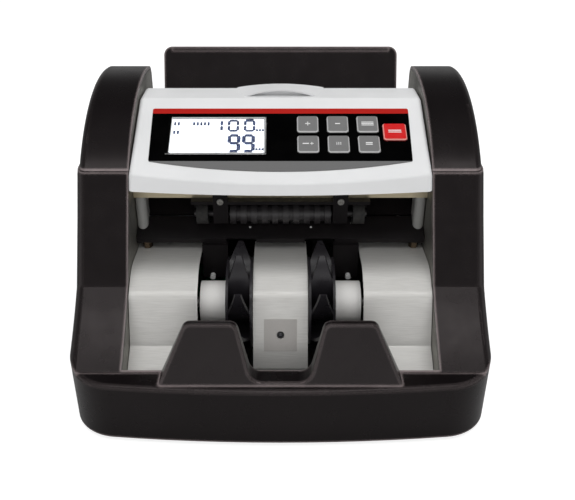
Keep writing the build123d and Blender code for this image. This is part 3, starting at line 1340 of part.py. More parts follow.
def slot_pins():
    """White pins at the foot of the wipers."""
    pins = []
    for side in (-1, 1):
        face = Pos(side * SLOT_PIN_X, SLOT_BRACKET_FOOT_Z + SLOT_PIN_RADIUS) * Circle(SLOT_PIN_RADIUS)
        pins.append(rear_slab(face, SLOT_BRACKET_Y - SLOT_PIN_LENGTH, SLOT_BRACKET_Y))
    return pins


# ---------------------------------------------------------------- drive
def pulley(centre, bore, rims):
    """Flanged belt pulley with one groove for each (lane, radius)."""
    body = Part()
    for lane, radius in rims:
        start = -PULLEY_X - (lane + 1) * PULLEY_WIDTH
        body += tube(centre, radius, bore, start, start + PULLEY_WIDTH)
        body += tube(centre, radius + PULLEY_RIM, bore, start, start + PULLEY_FLANGE)
        end = start + PULLEY_WIDTH
        body += tube(centre, radius + PULLEY_RIM, bore, end - PULLEY_FLANGE, end)
    return body


def belt(lane, wheels):
    """Closed belt round two or more pulleys in one lane, from their (centre, radius)."""
    def ring(extra):
        edges = ShapeList()
        for centre, radius in wheels:
            edges += (Pos(*centre) * Circle(radius + BELT_GAP + extra)).edges()
        return make_hull(edges)

    groove = PULLEY_WIDTH - 2 * PULLEY_FLANGE
    width = min(BELT_WIDTH, groove - 2 * BELT_GAP)
    start = -PULLEY_X - (lane + 1) * PULLEY_WIDTH + (PULLEY_WIDTH - width) / 2
    return across(ring(BELT_SHEET) - ring(0.0), start, start + width)


def main_motor():
    """Drive motor with its shaft through the left frame."""
    y, z = MOTOR_CENTRE
    end = -POCKET_HALF
    can = rod(MOTOR_CENTRE, MOTOR_RADIUS, end, end + MOTOR_LENGTH)
    can += rod(MOTOR_CENTRE, MOTOR_RADIUS / 3, end + MOTOR_LENGTH, end + MOTOR_LENGTH + 4.0)
    return can - rod(MOTOR_CENTRE, MOTOR_SHAFT_RADIUS + RUNNING_FIT, -FAR, end + MOTOR_LENGTH / 2)


def motor_pulley():
    """Motor shaft and its small pulley."""
    outer = -PULLEY_X - PULLEY_WIDTH - CLIP_SHEET
    shaft = rod(MOTOR_CENTRE, MOTOR_SHAFT_RADIUS, outer, -POCKET_HALF + MOTOR_LENGTH / 2 - BELT_GAP)
    return shaft + pulley(MOTOR_CENTRE, MOTOR_SHAFT_RADIUS, [(0, MOTOR_PULLEY_RADIUS)])


MOTOR_LANE = 0
PICKUP_LANE = 1
STACKER_LANE = 2


def save_moulded_shells():
    """Housing, head and base."""
    save(lower_housing(), "lower_housing")
    save(top_cap(-1), "top_cap_left")
    save(top_cap(1), "top_cap_right")
    save(base_pan(), "base_pan")
    save(rubber_feet(), "rubber_feet")
    save(side_frame(-1), "side_frame_left")
    save(side_frame(1), "side_frame_right")
    save(shaft_bushes(), "shaft_bushes")


def save_head():
    """Head, display and keys."""
    save(head_cover(), "head_cover")
    save(control_overlay(), "control_overlay")
    save(display_window(), "display_window")
    save(display_module(), "display_module")
    save(display_board(), "display_board")
    for name, (u, v, width) in KEYS.items():
        save(key(u, v, width), name)


def save_note_path():
    """Hopper, feed, retard and exit pieces."""
    save(hopper_plate(), "hopper_plate")
    save(feed_deck(), "feed_deck")
    save(exit_bar(), "exit_bar")
    save(Compound(end_blocks()), "bar_end_blocks")
    save(roller_frame(), "roller_frame")
    save(upper_guide(), "upper_guide")
    save(ribbed_roller(), "ribbed_roller")
    save(end_rollers(), "idler_end_rollers")
    transport_rim = [(STACKER_LANE, TRANSPORT_PULLEY_RADIUS)]
    transport = driven_shaft("transport") + pulley(TRANSPORT_CENTRE, TRANSPORT_SHAFT_RADIUS, transport_rim)
    save(transport, "transport_shaft")
    save(transport_rollers(), "transport_rollers")
    save(driven_shaft("feed"), "feed_shaft")
    save(feed_rollers(), "feed_rollers")
    pickup_rim = [(PICKUP_LANE, PICKUP_PULLEY_RADIUS)]
    save(driven_shaft("pickup") + pulley(PICKUP_CENTRE, PICKUP_SHAFT_RADIUS, pickup_rim), "pickup_shaft")
    save(pickup_rollers(), "pickup_rollers")
    save(pad_holder(), "pad_holder")
    save(Compound(retard_pads()), "retard_pads")
    save(pad_bridge(), "pad_bridge")
    save(adjusting_screw(), "adjusting_screw")


def save_stacker():
    """Stacking wheels, plates and their sensors."""
    save(driven_shaft("stacker"), "stacker_shaft")
    save(stacker_wheel(-1), "stacker_wheel_left")
    save(stacker_wheel(1), "stacker_wheel_right")
    save(stacker_drums(), "stacker_drums")
    save(Compound(side_plates()), "stacker_side_plates")
    save(centre_plate(), "stacker_centre_plate")
    save(Compound([pocket_sensor()] + count_sensors()), "note_sensors")
    save(Compound(slot_brackets()), "slot_wipers")
    save(Compound(slot_pins()), "wiper_pins")


def save_drive():
    """Motor, pulleys and belts in the left tower."""
    save(main_motor(), "main_motor")
    save(motor_pulley(), "motor_pulley")
    feed_rims = [
        (MOTOR_LANE, FEED_PULLEY_RADIUS),
        (PICKUP_LANE, FEED_PICKUP_RADIUS),
        (STACKER_LANE, FEED_TAKEOFF_RADIUS),
    ]
    save(pulley(FEED_CENTRE, FEED_SHAFT_RADIUS, feed_rims), "feed_pulley")
    save(pulley(STACKER_CENTRE, STACKER_SHAFT_RADIUS, [(STACKER_LANE, STACKER_PULLEY_RADIUS)]), "stacker_pulley")
    motor_wheels = [(MOTOR_CENTRE, MOTOR_PULLEY_RADIUS), (FEED_CENTRE, FEED_PULLEY_RADIUS)]
    pickup_wheels = [(FEED_CENTRE, FEED_PICKUP_RADIUS), (PICKUP_CENTRE, PICKUP_PULLEY_RADIUS)]
    stacker_wheels = [
        (FEED_CENTRE, FEED_TAKEOFF_RADIUS),
        (TRANSPORT_CENTRE, TRANSPORT_PULLEY_RADIUS),
        (STACKER_CENTRE, STACKER_PULLEY_RADIUS),
    ]
    belts = [
        belt(MOTOR_LANE, motor_wheels),
        belt(PICKUP_LANE, pickup_wheels),
        belt(STACKER_LANE, stacker_wheels),
    ]
    save(Compound(belts), "drive_belts")


def save_rear():
    """Back cover and what is mounted on it."""
    save(rear_cover(), "rear_cover")
    save(power_entry(), "power_entry")
    save(power_rocker(), "power_rocker")
    save(fuse_cap(), "fuse_holder")
    save(transformer(), "transformer")
    save(main_board(), "main_board")
    back, arms = screw_places()
    save(Compound([screw(*place) for place in back + arms] + bar_studs()), "screws_and_studs")


for step in (save_moulded_shells, save_head, save_note_path, save_stacker, save_drive, save_rear):
    step()
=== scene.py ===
"""Finishes, display, key signs and small trim of a table-top banknote counting machine."""

import json
from collections import namedtuple
from math import atan2, cos, pi, radians, sin

import bpy
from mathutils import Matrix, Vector

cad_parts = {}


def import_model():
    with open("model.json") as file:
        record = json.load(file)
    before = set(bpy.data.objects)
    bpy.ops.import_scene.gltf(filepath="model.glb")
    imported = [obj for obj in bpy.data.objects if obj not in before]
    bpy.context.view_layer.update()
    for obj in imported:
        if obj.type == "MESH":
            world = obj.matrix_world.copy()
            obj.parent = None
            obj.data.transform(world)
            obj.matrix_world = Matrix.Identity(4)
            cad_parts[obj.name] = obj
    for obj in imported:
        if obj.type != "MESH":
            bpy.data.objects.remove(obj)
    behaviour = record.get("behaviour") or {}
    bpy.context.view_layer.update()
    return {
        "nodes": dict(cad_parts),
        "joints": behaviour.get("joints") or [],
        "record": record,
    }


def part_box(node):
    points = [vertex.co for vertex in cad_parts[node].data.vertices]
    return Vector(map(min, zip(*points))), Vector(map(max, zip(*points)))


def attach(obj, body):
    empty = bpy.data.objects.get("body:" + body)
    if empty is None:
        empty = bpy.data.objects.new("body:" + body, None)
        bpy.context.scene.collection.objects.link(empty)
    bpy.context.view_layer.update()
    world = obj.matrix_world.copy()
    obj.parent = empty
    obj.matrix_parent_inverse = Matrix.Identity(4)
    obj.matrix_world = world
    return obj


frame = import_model()

MM = 0.001

# ------------------------------------------------------------------ places on the sloping face
FILM_SHEET = 0.5 * MM
FILM_TOP = 65.1 * MM
FILM_SIDE_FOOT = 11.6 * MM
STRIPE_HEIGHT = 5.4 * MM
WINDOW_RIM = 0.6 * MM
PRINT_SHEET = 0.06 * MM


def joint_axis(name):
    """Direction in which a joint moves its body."""
    return next(Vector(joint["axis"]) for joint in frame["joints"] if joint["name"] == name)


INTO_FACE = joint_axis("key_plus_press").normalized()
FACE_OUT = -INTO_FACE
UP_SLOPE = Vector((0, FACE_OUT.z, -FACE_OUT.y))
FACE_SLOPE = atan2(UP_SLOPE.z, UP_SLOPE.y)


def film_edge():
    """Middle of the film's upper edge, on its outer side."""
    low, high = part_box("control_overlay")
    return Vector((0, high.y + FILM_SHEET * FACE_OUT.y, high.z))


FILM_EDGE = film_edge()


def on_face(u, v, lift=0.0):
    """Point at u across and v up the slope from the face's foot, lifted off the film."""
    return FILM_EDGE + Vector((u, 0, 0)) + UP_SLOPE * (v - FILM_TOP) + FACE_OUT * lift


def face_place(node):
    """Centre of a node's outer side in the face's (u, v) and its height over the film."""
    mesh = frame["nodes"][node].data
    points = [point.co for point in mesh.vertices]
    across = [p.x for p in points]
    along = [(p - FILM_EDGE).dot(UP_SLOPE) + FILM_TOP for p in points]
    lift = max((p - FILM_EDGE).dot(FACE_OUT) for p in points)
    return (min(across) + max(across)) / 2, (min(along) + max(along)) / 2, lift


# ------------------------------------------------------------------ finishes
EDGE_SAMPLES = 6
# Cosine between a surface and its rounded self: full painted edge highlight at the first, none at
# the second.
EDGE_TURN = 0.93
FLAT_TURN = 0.998


class Finish:
    """A Principled material whose node graph is built step by step."""

    def __init__(self, name, colour, roughness, metallic=0.0, specular=0.5):
        self.material = bpy.data.materials.new(name)
        self.material.use_nodes = True
        self.tree = self.material.node_tree
        self.shader = self.tree.nodes["Principled BSDF"]
        self.set("Base Color", (*colour, 1))
        self.set("Roughness", roughness)
        self.set("Metallic", metallic)
        self.set("Specular IOR Level", specular)
        self.coordinates = self.add("ShaderNodeTexCoord").outputs["Object"]

    def add(self, kind, **settings):
        """Adds a node; settings name its properties."""
        node = self.tree.nodes.new(kind)
        for key, value in settings.items():
            setattr(node, key, value)
        return node

    def set(self, socket, value):
        """Sets a socket of the shader."""
        self.shader.inputs[socket].default_value = value

    def link(self, source, target):
        """Joins an output to an input."""
        self.tree.links.new(source, target)

    def feed(self, source, socket):
        """Joins an output to a socket of the shader."""
        self.link(source, self.shader.inputs[socket])

    def noise(self, size, detail=2.0, stretch=(1, 1, 1)):
        """Noise whose grains measure about size; stretch lengthens them."""
        mapping = self.add("ShaderNodeMapping")
        mapping.inputs["Scale"].default_value = [1 / factor for factor in stretch]
        self.link(self.coordinates, mapping.inputs["Vector"])
        node = self.add("ShaderNodeTexNoise")
        node.inputs["Scale"].default_value = 1 / size
        node.inputs["Detail"].default_value = detail
        self.link(mapping.outputs[0], node.inputs["Vector"])
        return node.outputs["Fac"]

    def range(self, source, low, high, start=0.3, end=0.7):
        """Maps a value between start and end to low and high."""
        node = self.add("ShaderNodeMapRange")
        limits = {"From Min": start, "From Max": end, "To Min": low, "To Max": high}
        for socket, value in limits.items():
            node.inputs[socket].default_value = value
        self.link(source, node.inputs["Value"])
        return node.outputs[0]

    def blend(self, share, first, second):
        """Colour between two colours or outputs."""
        node = self.add("ShaderNodeMix", data_type="RGBA")
        self.link(share, node.inputs["Factor"])
        for socket, colour in ((node.inputs["A"], first), (node.inputs["B"], second)):
            if isinstance(colour, tuple):
                socket.default_value = (*colour, 1)
            else:
                self.link(colour, socket)
        return node.outputs["Result"]

    def along(self, direction):
        """Distance along a direction from the object's origin."""
        node = self.add("ShaderNodeVectorMath", operation="DOT_PRODUCT")
        node.inputs[1].default_value = direction
        self.link(self.coordinates, node.inputs[0])
        return node.outputs["Value"]

    def over(self, source, limit):
        """1 where a value is above a limit."""
        node = self.add("ShaderNodeMath", operation="GREATER_THAN")
        node.inputs[1].default_value = limit
        self.link(source, node.inputs[0])
        return node.outputs[0]

    def calculate(self, operation, first, second=None):
        """A maths node on outputs or numbers."""
        node = self.add("ShaderNodeMath", operation=operation)
        for socket, value in zip(node.inputs, (first, second)):
            if value is None:
                continue
            if isinstance(value, (int, float)):
                socket.default_value = value
            else:
                self.link(value, socket)
        return node.outputs[0]

    def edges(self, reach):
        """1 along edges and small roundings, 0 on the flats."""
        rounded = self.add("ShaderNodeBevel", samples=EDGE_SAMPLES)
        rounded.inputs["Radius"].default_value = reach
        surface = self.add("ShaderNodeNewGeometry")
        turned = self.add("ShaderNodeVectorMath", operation="DOT_PRODUCT")
        self.link(rounded.outputs[0], turned.inputs[0])
        self.link(surface.outputs["True Normal"], turned.inputs[1])
        return self.range(turned.outputs["Value"], 1.0, 0.0, EDGE_TURN, FLAT_TURN)

    def bump(self, source, depth):
        """Roughens the surface by a height."""
        node = self.add("ShaderNodeBump")
        node.inputs["Distance"].default_value = depth
        node.inputs["Strength"].default_value = 1.0
        self.link(source, node.inputs["Height"])
        self.feed(node.outputs[0], "Normal")


CLOUD_SIZE = 38 * MM
SMEAR_SIZE = 14 * MM
GRAIN_SIZE = 0.35 * MM
GRAIN_DEPTH = 0.004 * MM


def moulded(name, colour, second, roughness, specular=0.5):
    """Moulded plastic: slight clouding of colour and gloss, fine spark grain."""
    finish = Finish(name, colour, roughness, specular=specular)
    cloud = finish.noise(CLOUD_SIZE, 3.0)
    finish.feed(finish.blend(finish.range(cloud, 0, 1), colour, second), "Base Color")
    smear = finish.noise(SMEAR_SIZE, 4.0)
    finish.feed(finish.range(smear, roughness * 0.82, roughness * 1.2), "Roughness")
    finish.bump(finish.noise(GRAIN_SIZE, 1.0), GRAIN_DEPTH)
    return finish


HOUSING_BLACK = (0.0042, 0.0031, 0.0034)
HOUSING_CLOUD = (0.0055, 0.0041, 0.0045)
HOUSING_EDGE_HIGHLIGHT = (0.24, 0.2, 0.2)
HOUSING_SHEEN = (1.0, 0.9, 0.9, 1)
EDGE_REACH = 2.8 * MM


def housing_plastic():
    """Black housing plastic, with a painted highlight that makes it lighter along its edges."""
    finish = Finish("housing_black", HOUSING_BLACK, 0.25, specular=0.3)
    finish.set("Specular Tint", HOUSING_SHEEN)
    cloud = finish.range(finish.noise(CLOUD_SIZE, 3.0), 0, 1)
    plain = finish.blend(cloud, HOUSING_BLACK, HOUSING_CLOUD)
    smear = finish.noise(SMEAR_SIZE, 4.0)
    highlight_patchiness = finish.range(smear, 0.75, 1)
    # Painted highlight: lighter colour along edges and roundings, made patchy by the smear noise.
    painted_edge_highlight = finish.calculate("MULTIPLY", finish.edges(EDGE_REACH), highlight_patchiness)
    finish.feed(finish.blend(painted_edge_highlight, plain, HOUSING_EDGE_HIGHLIGHT), "Base Color")
    finish.feed(finish.range(smear, 0.22, 0.29), "Roughness")
    finish.bump(finish.noise(GRAIN_SIZE, 1.0), GRAIN_DEPTH)
    return finish


SCRATCH_SIZE = 0.5 * MM
SCRATCH_DEPTH = 0.003 * MM
SHEET_CLOUD_SIZE = 30 * MM


def brushed(name, colour, second, roughness, stretch, metallic=1.0):
    """Brushed sheet metal: long fine scratches in colour, gloss and height."""
    finish = Finish(name, colour, roughness, metallic=metallic)
    scratches = finish.noise(SCRATCH_SIZE, 3.0, stretch)
    cloud = finish.range(finish.noise(SHEET_CLOUD_SIZE, 2.0), 0.5, 1)
    share = finish.calculate("MULTIPLY", finish.range(scratches, 0, 1), cloud)
    finish.feed(finish.blend(share, colour, second), "Base Color")
    finish.feed(finish.range(scratches, roughness * 0.75, roughness * 1.3), "Roughness")
    finish.bump(scratches, SCRATCH_DEPTH)
    return finish


RUBBER_ROUGHNESS = 0.75
DUST_SIZE = 3 * MM
PORE_SIZE = 0.4 * MM
PORE_DEPTH = 0.02 * MM


def rubbery(name, colour, second):
    """Rubber: matt, with pores and a dusty cast."""
    finish = Finish(name, colour, RUBBER_ROUGHNESS, specular=0.3)
    dust = finish.noise(DUST_SIZE, 5.0)
    finish.feed(finish.blend(finish.range(dust, 0, 1), colour, second), "Base Color")
    finish.bump(finish.noise(PORE_SIZE, 3.0), PORE_DEPTH)
    return finish


FIELD_BLACK = (0.0006, 0.0006, 0.0007)
ARCH_GREY = (0.155, 0.155, 0.155)
STRIPE_RED = (0.42, 0.017, 0.013)
FILM_HAZE = (0.8, 0.8, 0.8)
FILM_HAZE_SHARE = 0.001
FILM_CLOUD_SIZE = 20 * MM
FILM_GRAIN_SIZE = 0.3 * MM
FILM_GRAIN_DEPTH = 0.002 * MM


def face_film():
    """Printed film: red stripe, black field and grey arch at the foot."""
    finish = Finish("film_black", (0.001, 0.001, 0.001), 0.22, specular=0.01)
    height = finish.along(UP_SLOPE)
    top = FILM_EDGE.dot(UP_SLOPE)
    in_field = finish.over(height, top - FILM_TOP + FILM_SIDE_FOOT)
    in_stripe = finish.over(height, top - STRIPE_HEIGHT)
    colour = finish.blend(in_stripe, finish.blend(in_field, ARCH_GREY, FIELD_BLACK), STRIPE_RED)
    cloud = finish.noise(FILM_CLOUD_SIZE, 3.0)
    haze = finish.calculate("MULTIPLY", finish.range(cloud, 0, 1), FILM_HAZE_SHARE)
    finish.feed(finish.blend(haze, colour, FILM_HAZE), "Base Color")
    finish.feed(finish.range(cloud, 0.2, 0.32), "Roughness")
    finish.bump(finish.noise(FILM_GRAIN_SIZE, 1.0), FILM_GRAIN_DEPTH)
    return finish


# Cosine between a cap's surface and the face: the rim's painted highlight starts at the first, the
# top at the second.
KEY_RIM_TURN = 0.5
KEY_TOP_TURN = 0.95
KEY_HAZE = (0.5, 0.5, 0.5)
KEY_HAZE_SHARE = 0.02
KEY_CLOUD_SIZE = 5 * MM
KEY_GRAIN_SIZE = 0.25 * MM


def key_plastic(name, cap, rim, side):
    """Key cap: coloured top, a lighter rim over the bevelled edge as a painted highlight, and
    darker sides as painted shade.
    """
    finish = Finish(name, cap, 0.4, specular=0.25)
    turned = finish.add("ShaderNodeVectorMath", operation="DOT_PRODUCT")
    turned.inputs[1].default_value = FACE_OUT
    normal = finish.tree.nodes["Texture Coordinate"].outputs["Normal"]
    finish.link(normal, turned.inputs[0])
    lean = turned.outputs["Value"]
    # The rim colour is a painted highlight on the bevel; the side colour is painted shade.
    colour = finish.blend(finish.over(lean, KEY_RIM_TURN), side, rim)
    colour = finish.blend(finish.over(lean, KEY_TOP_TURN), colour, cap)
    cloud = finish.noise(KEY_CLOUD_SIZE, 3.0)
    haze = finish.calculate("MULTIPLY", finish.range(cloud, 0, 1), KEY_HAZE_SHARE)
    finish.feed(finish.blend(haze, colour, KEY_HAZE), "Base Color")
    finish.feed(finish.range(cloud, 0.33, 0.46), "Roughness")
    finish.bump(finish.noise(KEY_GRAIN_SIZE, 1.0), GRAIN_DEPTH)
    return finish


TRACK_DENSITY = 90.0
TRACK_DEPTH = 0.03 * MM


def circuit_board():
    """Green board with darker tracks."""
    finish = Finish("board_green", (0.02, 0.16, 0.07), 0.4)
    tracks = finish.add("ShaderNodeTexBrick")
    tracks.inputs["Scale"].default_value = TRACK_DENSITY
    tracks.inputs["Color1"].default_value = (0.015, 0.13, 0.05, 1)
    tracks.inputs["Color2"].default_value = (0.03, 0.2, 0.09, 1)
    tracks.inputs["Mortar"].default_value = (0.01, 0.08, 0.035, 1)
    finish.link(finish.coordinates, tracks.inputs["Vector"])
    finish.feed(tracks.outputs["Color"], "Base Color")
    finish.bump(tracks.outputs["Fac"], TRACK_DEPTH)
    return finish


DISPLAY_GLOW = 0.92
DISPLAY_CLOUD_SIZE = 45 * MM


def lit_display():
    """Back-lit display: cold white, a little uneven in brightness."""
    finish = Finish("lcd_blue_white", (0.86, 0.92, 1.0), 0.3)
    cloud = finish.noise(DISPLAY_CLOUD_SIZE, 1.0)
    glow = finish.blend(finish.range(cloud, 0, 1), (0.9, 0.95, 1.0), (0.97, 0.98, 1.0))
    finish.feed(glow, "Emission Color")
    finish.set("Emission Strength", DISPLAY_GLOW)
    finish.feed(finish.range(cloud, 0.25, 0.35), "Roughness")
    return finish


WINDOW_IOR = 1.3
WIPE_SIZE = 12 * MM


def clear_window():
    """Thin clear pane with faint wiping marks."""
    finish = Finish("window_clear", (1, 1, 1), 0.05)
    finish.set("Transmission Weight", 1.0)
    finish.set("IOR", WINDOW_IOR)
    marks = finish.noise(WIPE_SIZE, 5.0, (4, 1, 1))
    finish.feed(finish.range(marks, 0.0, 0.05), "Roughness")
    return finish


IRON_SHEET_DENSITY = 320.0
IRON_SHEET_DEPTH = 0.05 * MM
IRON_DARK = (0.09, 0.08, 0.075)
IRON_LIGHT = (0.2, 0.19, 0.18)


def laminated_iron():
    """Stack of iron sheets with a dark varnish."""
    finish = Finish("core_steel", (0.12, 0.11, 0.1), 0.5, metallic=0.8)
    sheets = finish.add("ShaderNodeTexWave", bands_direction="Y")
    sheets.inputs["Scale"].default_value = IRON_SHEET_DENSITY
    finish.link(finish.coordinates, sheets.inputs["Vector"])
    finish.feed(finish.blend(sheets.outputs["Fac"], IRON_DARK, IRON_LIGHT), "Base Color")
    finish.bump(sheets.outputs["Fac"], IRON_SHEET_DEPTH)
    return finish


STUD_FROM_MIDDLE = 90 * MM
STUD_FRONT_OF = -20 * MM
FIXING_SCRATCH_SIZE = 0.6 * MM
FIXING_SCRATCH_DEPTH = 0.01 * MM
STEEL_LIGHT = (0.5, 0.49, 0.46)
STEEL_DARK = (0.36, 0.35, 0.33)
BRASS_LIGHT = (0.16, 0.12, 0.08)
BRASS_DARK = (0.09, 0.065, 0.045)


def fixings():
    """Plated screws, and dark brass for the two studs at the front of the note path."""
    finish = Finish("fixing_steel", (0.45, 0.44, 0.41), 0.3, metallic=1.0)
    across = finish.calculate("ABSOLUTE", finish.along((1, 0, 0)))
    forwards = finish.calculate("MULTIPLY", finish.along((0, 1, 0)), -1)
    outer = finish.over(across, STUD_FROM_MIDDLE)
    front = finish.over(forwards, STUD_FRONT_OF)
    studs = finish.calculate("MULTIPLY", outer, front)
    scratches = finish.noise(FIXING_SCRATCH_SIZE, 3.0)
    share = finish.range(scratches, 0, 1)
    steel = finish.blend(share, STEEL_LIGHT, STEEL_DARK)
    brass = finish.blend(share, BRASS_LIGHT, BRASS_DARK)
    finish.feed(finish.blend(studs, steel, brass), "Base Color")
    finish.feed(finish.range(scratches, 0.22, 0.4), "Roughness")
    finish.bump(scratches, FIXING_SCRATCH_DEPTH)
    return finish


FINISHES = {
    "housing_black": housing_plastic(),
    "head_white": moulded("head_white", (0.78, 0.785, 0.79), (0.74, 0.745, 0.75), 0.42),
    "film_black": face_film(),
    "window_clear": clear_window(),
    "lcd_blue_white": lit_display(),
    "board_green": circuit_board(),
    # Key finishes: cap colour, rim colour as painted highlight, side colour as painted shade.
    "key_grey": key_plastic(
        "key_grey", (0.17, 0.17, 0.17), (0.55, 0.55, 0.55), (0.06, 0.06, 0.06)
    ),
    "key_red": key_plastic(
        "key_red", (0.6, 0.003, 0.004), (0.85, 0.34, 0.3), (0.2, 0.004, 0.005)
    ),
    "guide_black": moulded(
        "guide_black", (0.006, 0.005, 0.0055), (0.009, 0.0075, 0.008), 0.42, specular=0.15
    ),
    "frame_steel": brushed(
        "frame_steel", (0.34, 0.33, 0.305), (0.25, 0.245, 0.225), 0.5, (1, 1, 12)
    ),
    "plate_steel": brushed(
        "plate_steel", (0.72, 0.71, 0.685), (0.64, 0.63, 0.605), 0.48, (24, 1, 1), metallic=0.5
    ),
    "guide_brass": brushed("guide_brass", (0.75, 0.66, 0.47), (0.62, 0.53, 0.36), 0.35, (24, 1, 1)),
    "roller_black": moulded("roller_black", (0.02, 0.018, 0.02), (0.03, 0.027, 0.028), 0.4),
    "tyre_rubber": rubbery("tyre_rubber", (0.02, 0.02, 0.02), (0.04, 0.038, 0.036)),
    "wheel_black": moulded(
        "wheel_black", (0.012, 0.011, 0.013), (0.02, 0.018, 0.021), 0.3, specular=0.35
    ),
    "drum_chrome": brushed(
        "drum_chrome", (0.9, 0.885, 0.86), (0.8, 0.785, 0.765), 0.42, (1, 1, 1), metallic=0.0
    ),
    "shaft_steel": brushed("shaft_steel", (0.55, 0.55, 0.55), (0.42, 0.42, 0.42), 0.28, (1, 6, 6)),
    "pulley_black": moulded("pulley_black", (0.02, 0.02, 0.02), (0.03, 0.03, 0.03), 0.5),
    "belt_rubber": rubbery("belt_rubber", (0.012, 0.012, 0.012), (0.03, 0.03, 0.03)),
    "foot_rubber": rubbery("foot_rubber", (0.015, 0.015, 0.015), (0.035, 0.033, 0.032)),
    "motor_steel": brushed("motor_steel", (0.3, 0.31, 0.33), (0.22, 0.23, 0.25), 0.4, (10, 1, 1)),
    "core_steel": laminated_iron(),
    "bush_bronze": brushed("bush_bronze", (0.5, 0.36, 0.18), (0.4, 0.28, 0.14), 0.45, (1, 1, 1)),
    "pin_white": moulded("pin_white", (0.75, 0.75, 0.74), (0.65, 0.65, 0.64), 0.4),
    "block_grey": moulded("block_grey", (0.36, 0.36, 0.35), (0.3, 0.3, 0.29), 0.45),
    "inlet_black": moulded("inlet_black", (0.01, 0.01, 0.01), (0.016, 0.016, 0.016), 0.45),
    "fixing_steel": fixings(),
}


def dress_solids():
    """Gives each CAD node the finish of its slot."""
    for part in frame["record"]["subparts"]:
        solid = frame["nodes"][part["node"]]
        finish = FINISHES[part["material_slot"]].material
        solid.data.materials.clear()
        solid.data.materials.append(finish)


dress_solids()


# ------------------------------------------------------------------ modelling by hand
def deselect():
    """Nothing selected in object mode."""
    bpy.ops.object.select_all(action="DESELECT")


def settle(piece, name, finish, body):
    """Names a piece, puts its place into its mesh, finishes it and lets it ride on a body."""
    piece.name = name
    piece.data.name = name
    deselect()
    piece.select_set(True)
    bpy.context.view_layer.objects.active = piece
    bpy.ops.object.transform_apply(location=True, rotation=True, scale=True)
    piece.data.materials.clear()
    piece.data.materials.append(finish.material)
    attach(piece, body)


def onto_face(piece, u, v, lift):
    """Lays a piece that was modelled flat at the origin on the sloping face."""
    piece.location = on_face(u, v, lift)
    piece.rotation_euler = (FACE_SLOPE, 0, 0)


def flat_bar(length, width, round_share=0.3):
    """Thin printed bar along x with rounded corners."""
    deselect()
    bpy.ops.mesh.primitive_cube_add(size=1, scale=(length, width, PRINT_SHEET))
    bar = bpy.context.object
    bpy.ops.object.transform_apply(location=False, rotation=False, scale=True)
    bpy.ops.object.mode_set(mode="EDIT")
    bpy.ops.mesh.select_all(action="DESELECT")
    bpy.ops.object.mode_set(mode="OBJECT")
    for edge in bar.data.edges:
        a, b = (bar.data.vertices[index].co for index in edge.vertices)
        edge.select = abs(a.z - b.z) > PRINT_SHEET / 2
    bpy.ops.object.mode_set(mode="EDIT")
    bpy.ops.mesh.select_mode(type="EDGE")
    bpy.ops.mesh.bevel(offset=round_share * width, segments=3)
    bpy.ops.object.mode_set(mode="OBJECT")
    return bar


def join(pieces):
    """One object of several."""
    deselect()
    for piece in pieces:
        piece.select_set(True)
    bpy.context.view_layer.objects.active = pieces[0]
    bpy.ops.object.join()
    return bpy.context.object


# ------------------------------------------------------------------ display read-out
SEGMENTS = {"0": "abcdef", "1": "bc", "9": "abcdfg"}
SEGMENT_GAP = 0.25
SEGMENT_ROUND = 0.45
INK_LIFT = 0.08 * MM
DigitLine = namedtuple("DigitLine", "text width height stroke margin rise pitch")
DIGIT_LINES = (
    DigitLine("100", 6.6 * MM, 10.4 * MM, 2.1 * MM, 9.0 * MM, 10.2 * MM, 12.0 * MM),
    DigitLine("99", 6.8 * MM, 15.6 * MM, 2.8 * MM, 9.4 * MM, -7.6 * MM, 10.6 * MM),
)
MARK_WIDTH = 1.7 * MM
MARK_ROUND = 0.2
# Height and pitch of a row's bars, by how many bars it has.
MARK_HEIGHT = {2: 3.8 * MM, 3: 2.2 * MM, 5: 3.8 * MM}
MARK_PITCH = {2: 2.7 * MM, 3: 2.2 * MM, 5: 2.7 * MM}
MarkRow = namedtuple("MarkRow", "inset rise count")
LEFT_MARKS = (
    MarkRow(6.4 * MM, 12.2 * MM, 2),
    MarkRow(6.4 * MM, 3.4 * MM, 2),
    MarkRow(24.5 * MM, 12.2 * MM, 5),
)
RIGHT_MARKS = (MarkRow(4.6 * MM, 5.6 * MM, 3), MarkRow(4.6 * MM, -13.6 * MM, 3))
ink = moulded("display_ink", (0.01, 0.028, 0.1), (0.016, 0.036, 0.12), 0.5, specular=0.1)


def digit(character, width, height, stroke):
    """Seven-segment digit centred at the origin, lying flat."""
    x, y = width / 2, height / 2
    places = {
        "a": (0, y, 0),
        "g": (0, 0, 0),
        "d": (0, -y, 0),
        "b": (x, y / 2, 1),
        "c": (x, -y / 2, 1),
        "e": (-x, -y / 2, 1),
        "f": (-x, y / 2, 1),
    }
    bars = []
    for segment in SEGMENTS[character]:
        px, py, upright = places[segment]
        length = (height / 2 if upright else width) - SEGMENT_GAP * stroke
        bar = flat_bar(length, stroke, round_share=SEGMENT_ROUND)
        bar.location = (px, py, upright * PRINT_SHEET / 2)
        bar.rotation_euler = (0, 0, upright * pi / 2)
        bpy.ops.object.transform_apply(location=True, rotation=True, scale=False)
        bars.append(bar)
    return join(bars)


def mark_row(u, v, lift, count):
    """Row of small upright bars on the display, centred on a place."""
    marks = []
    for index in range(count):
        mark = flat_bar(MARK_WIDTH, MARK_HEIGHT[count], round_share=MARK_ROUND)
        onto_face(mark, u + (index - (count - 1) / 2) * MARK_PITCH[count], v, lift)
        marks.append(mark)
    return marks


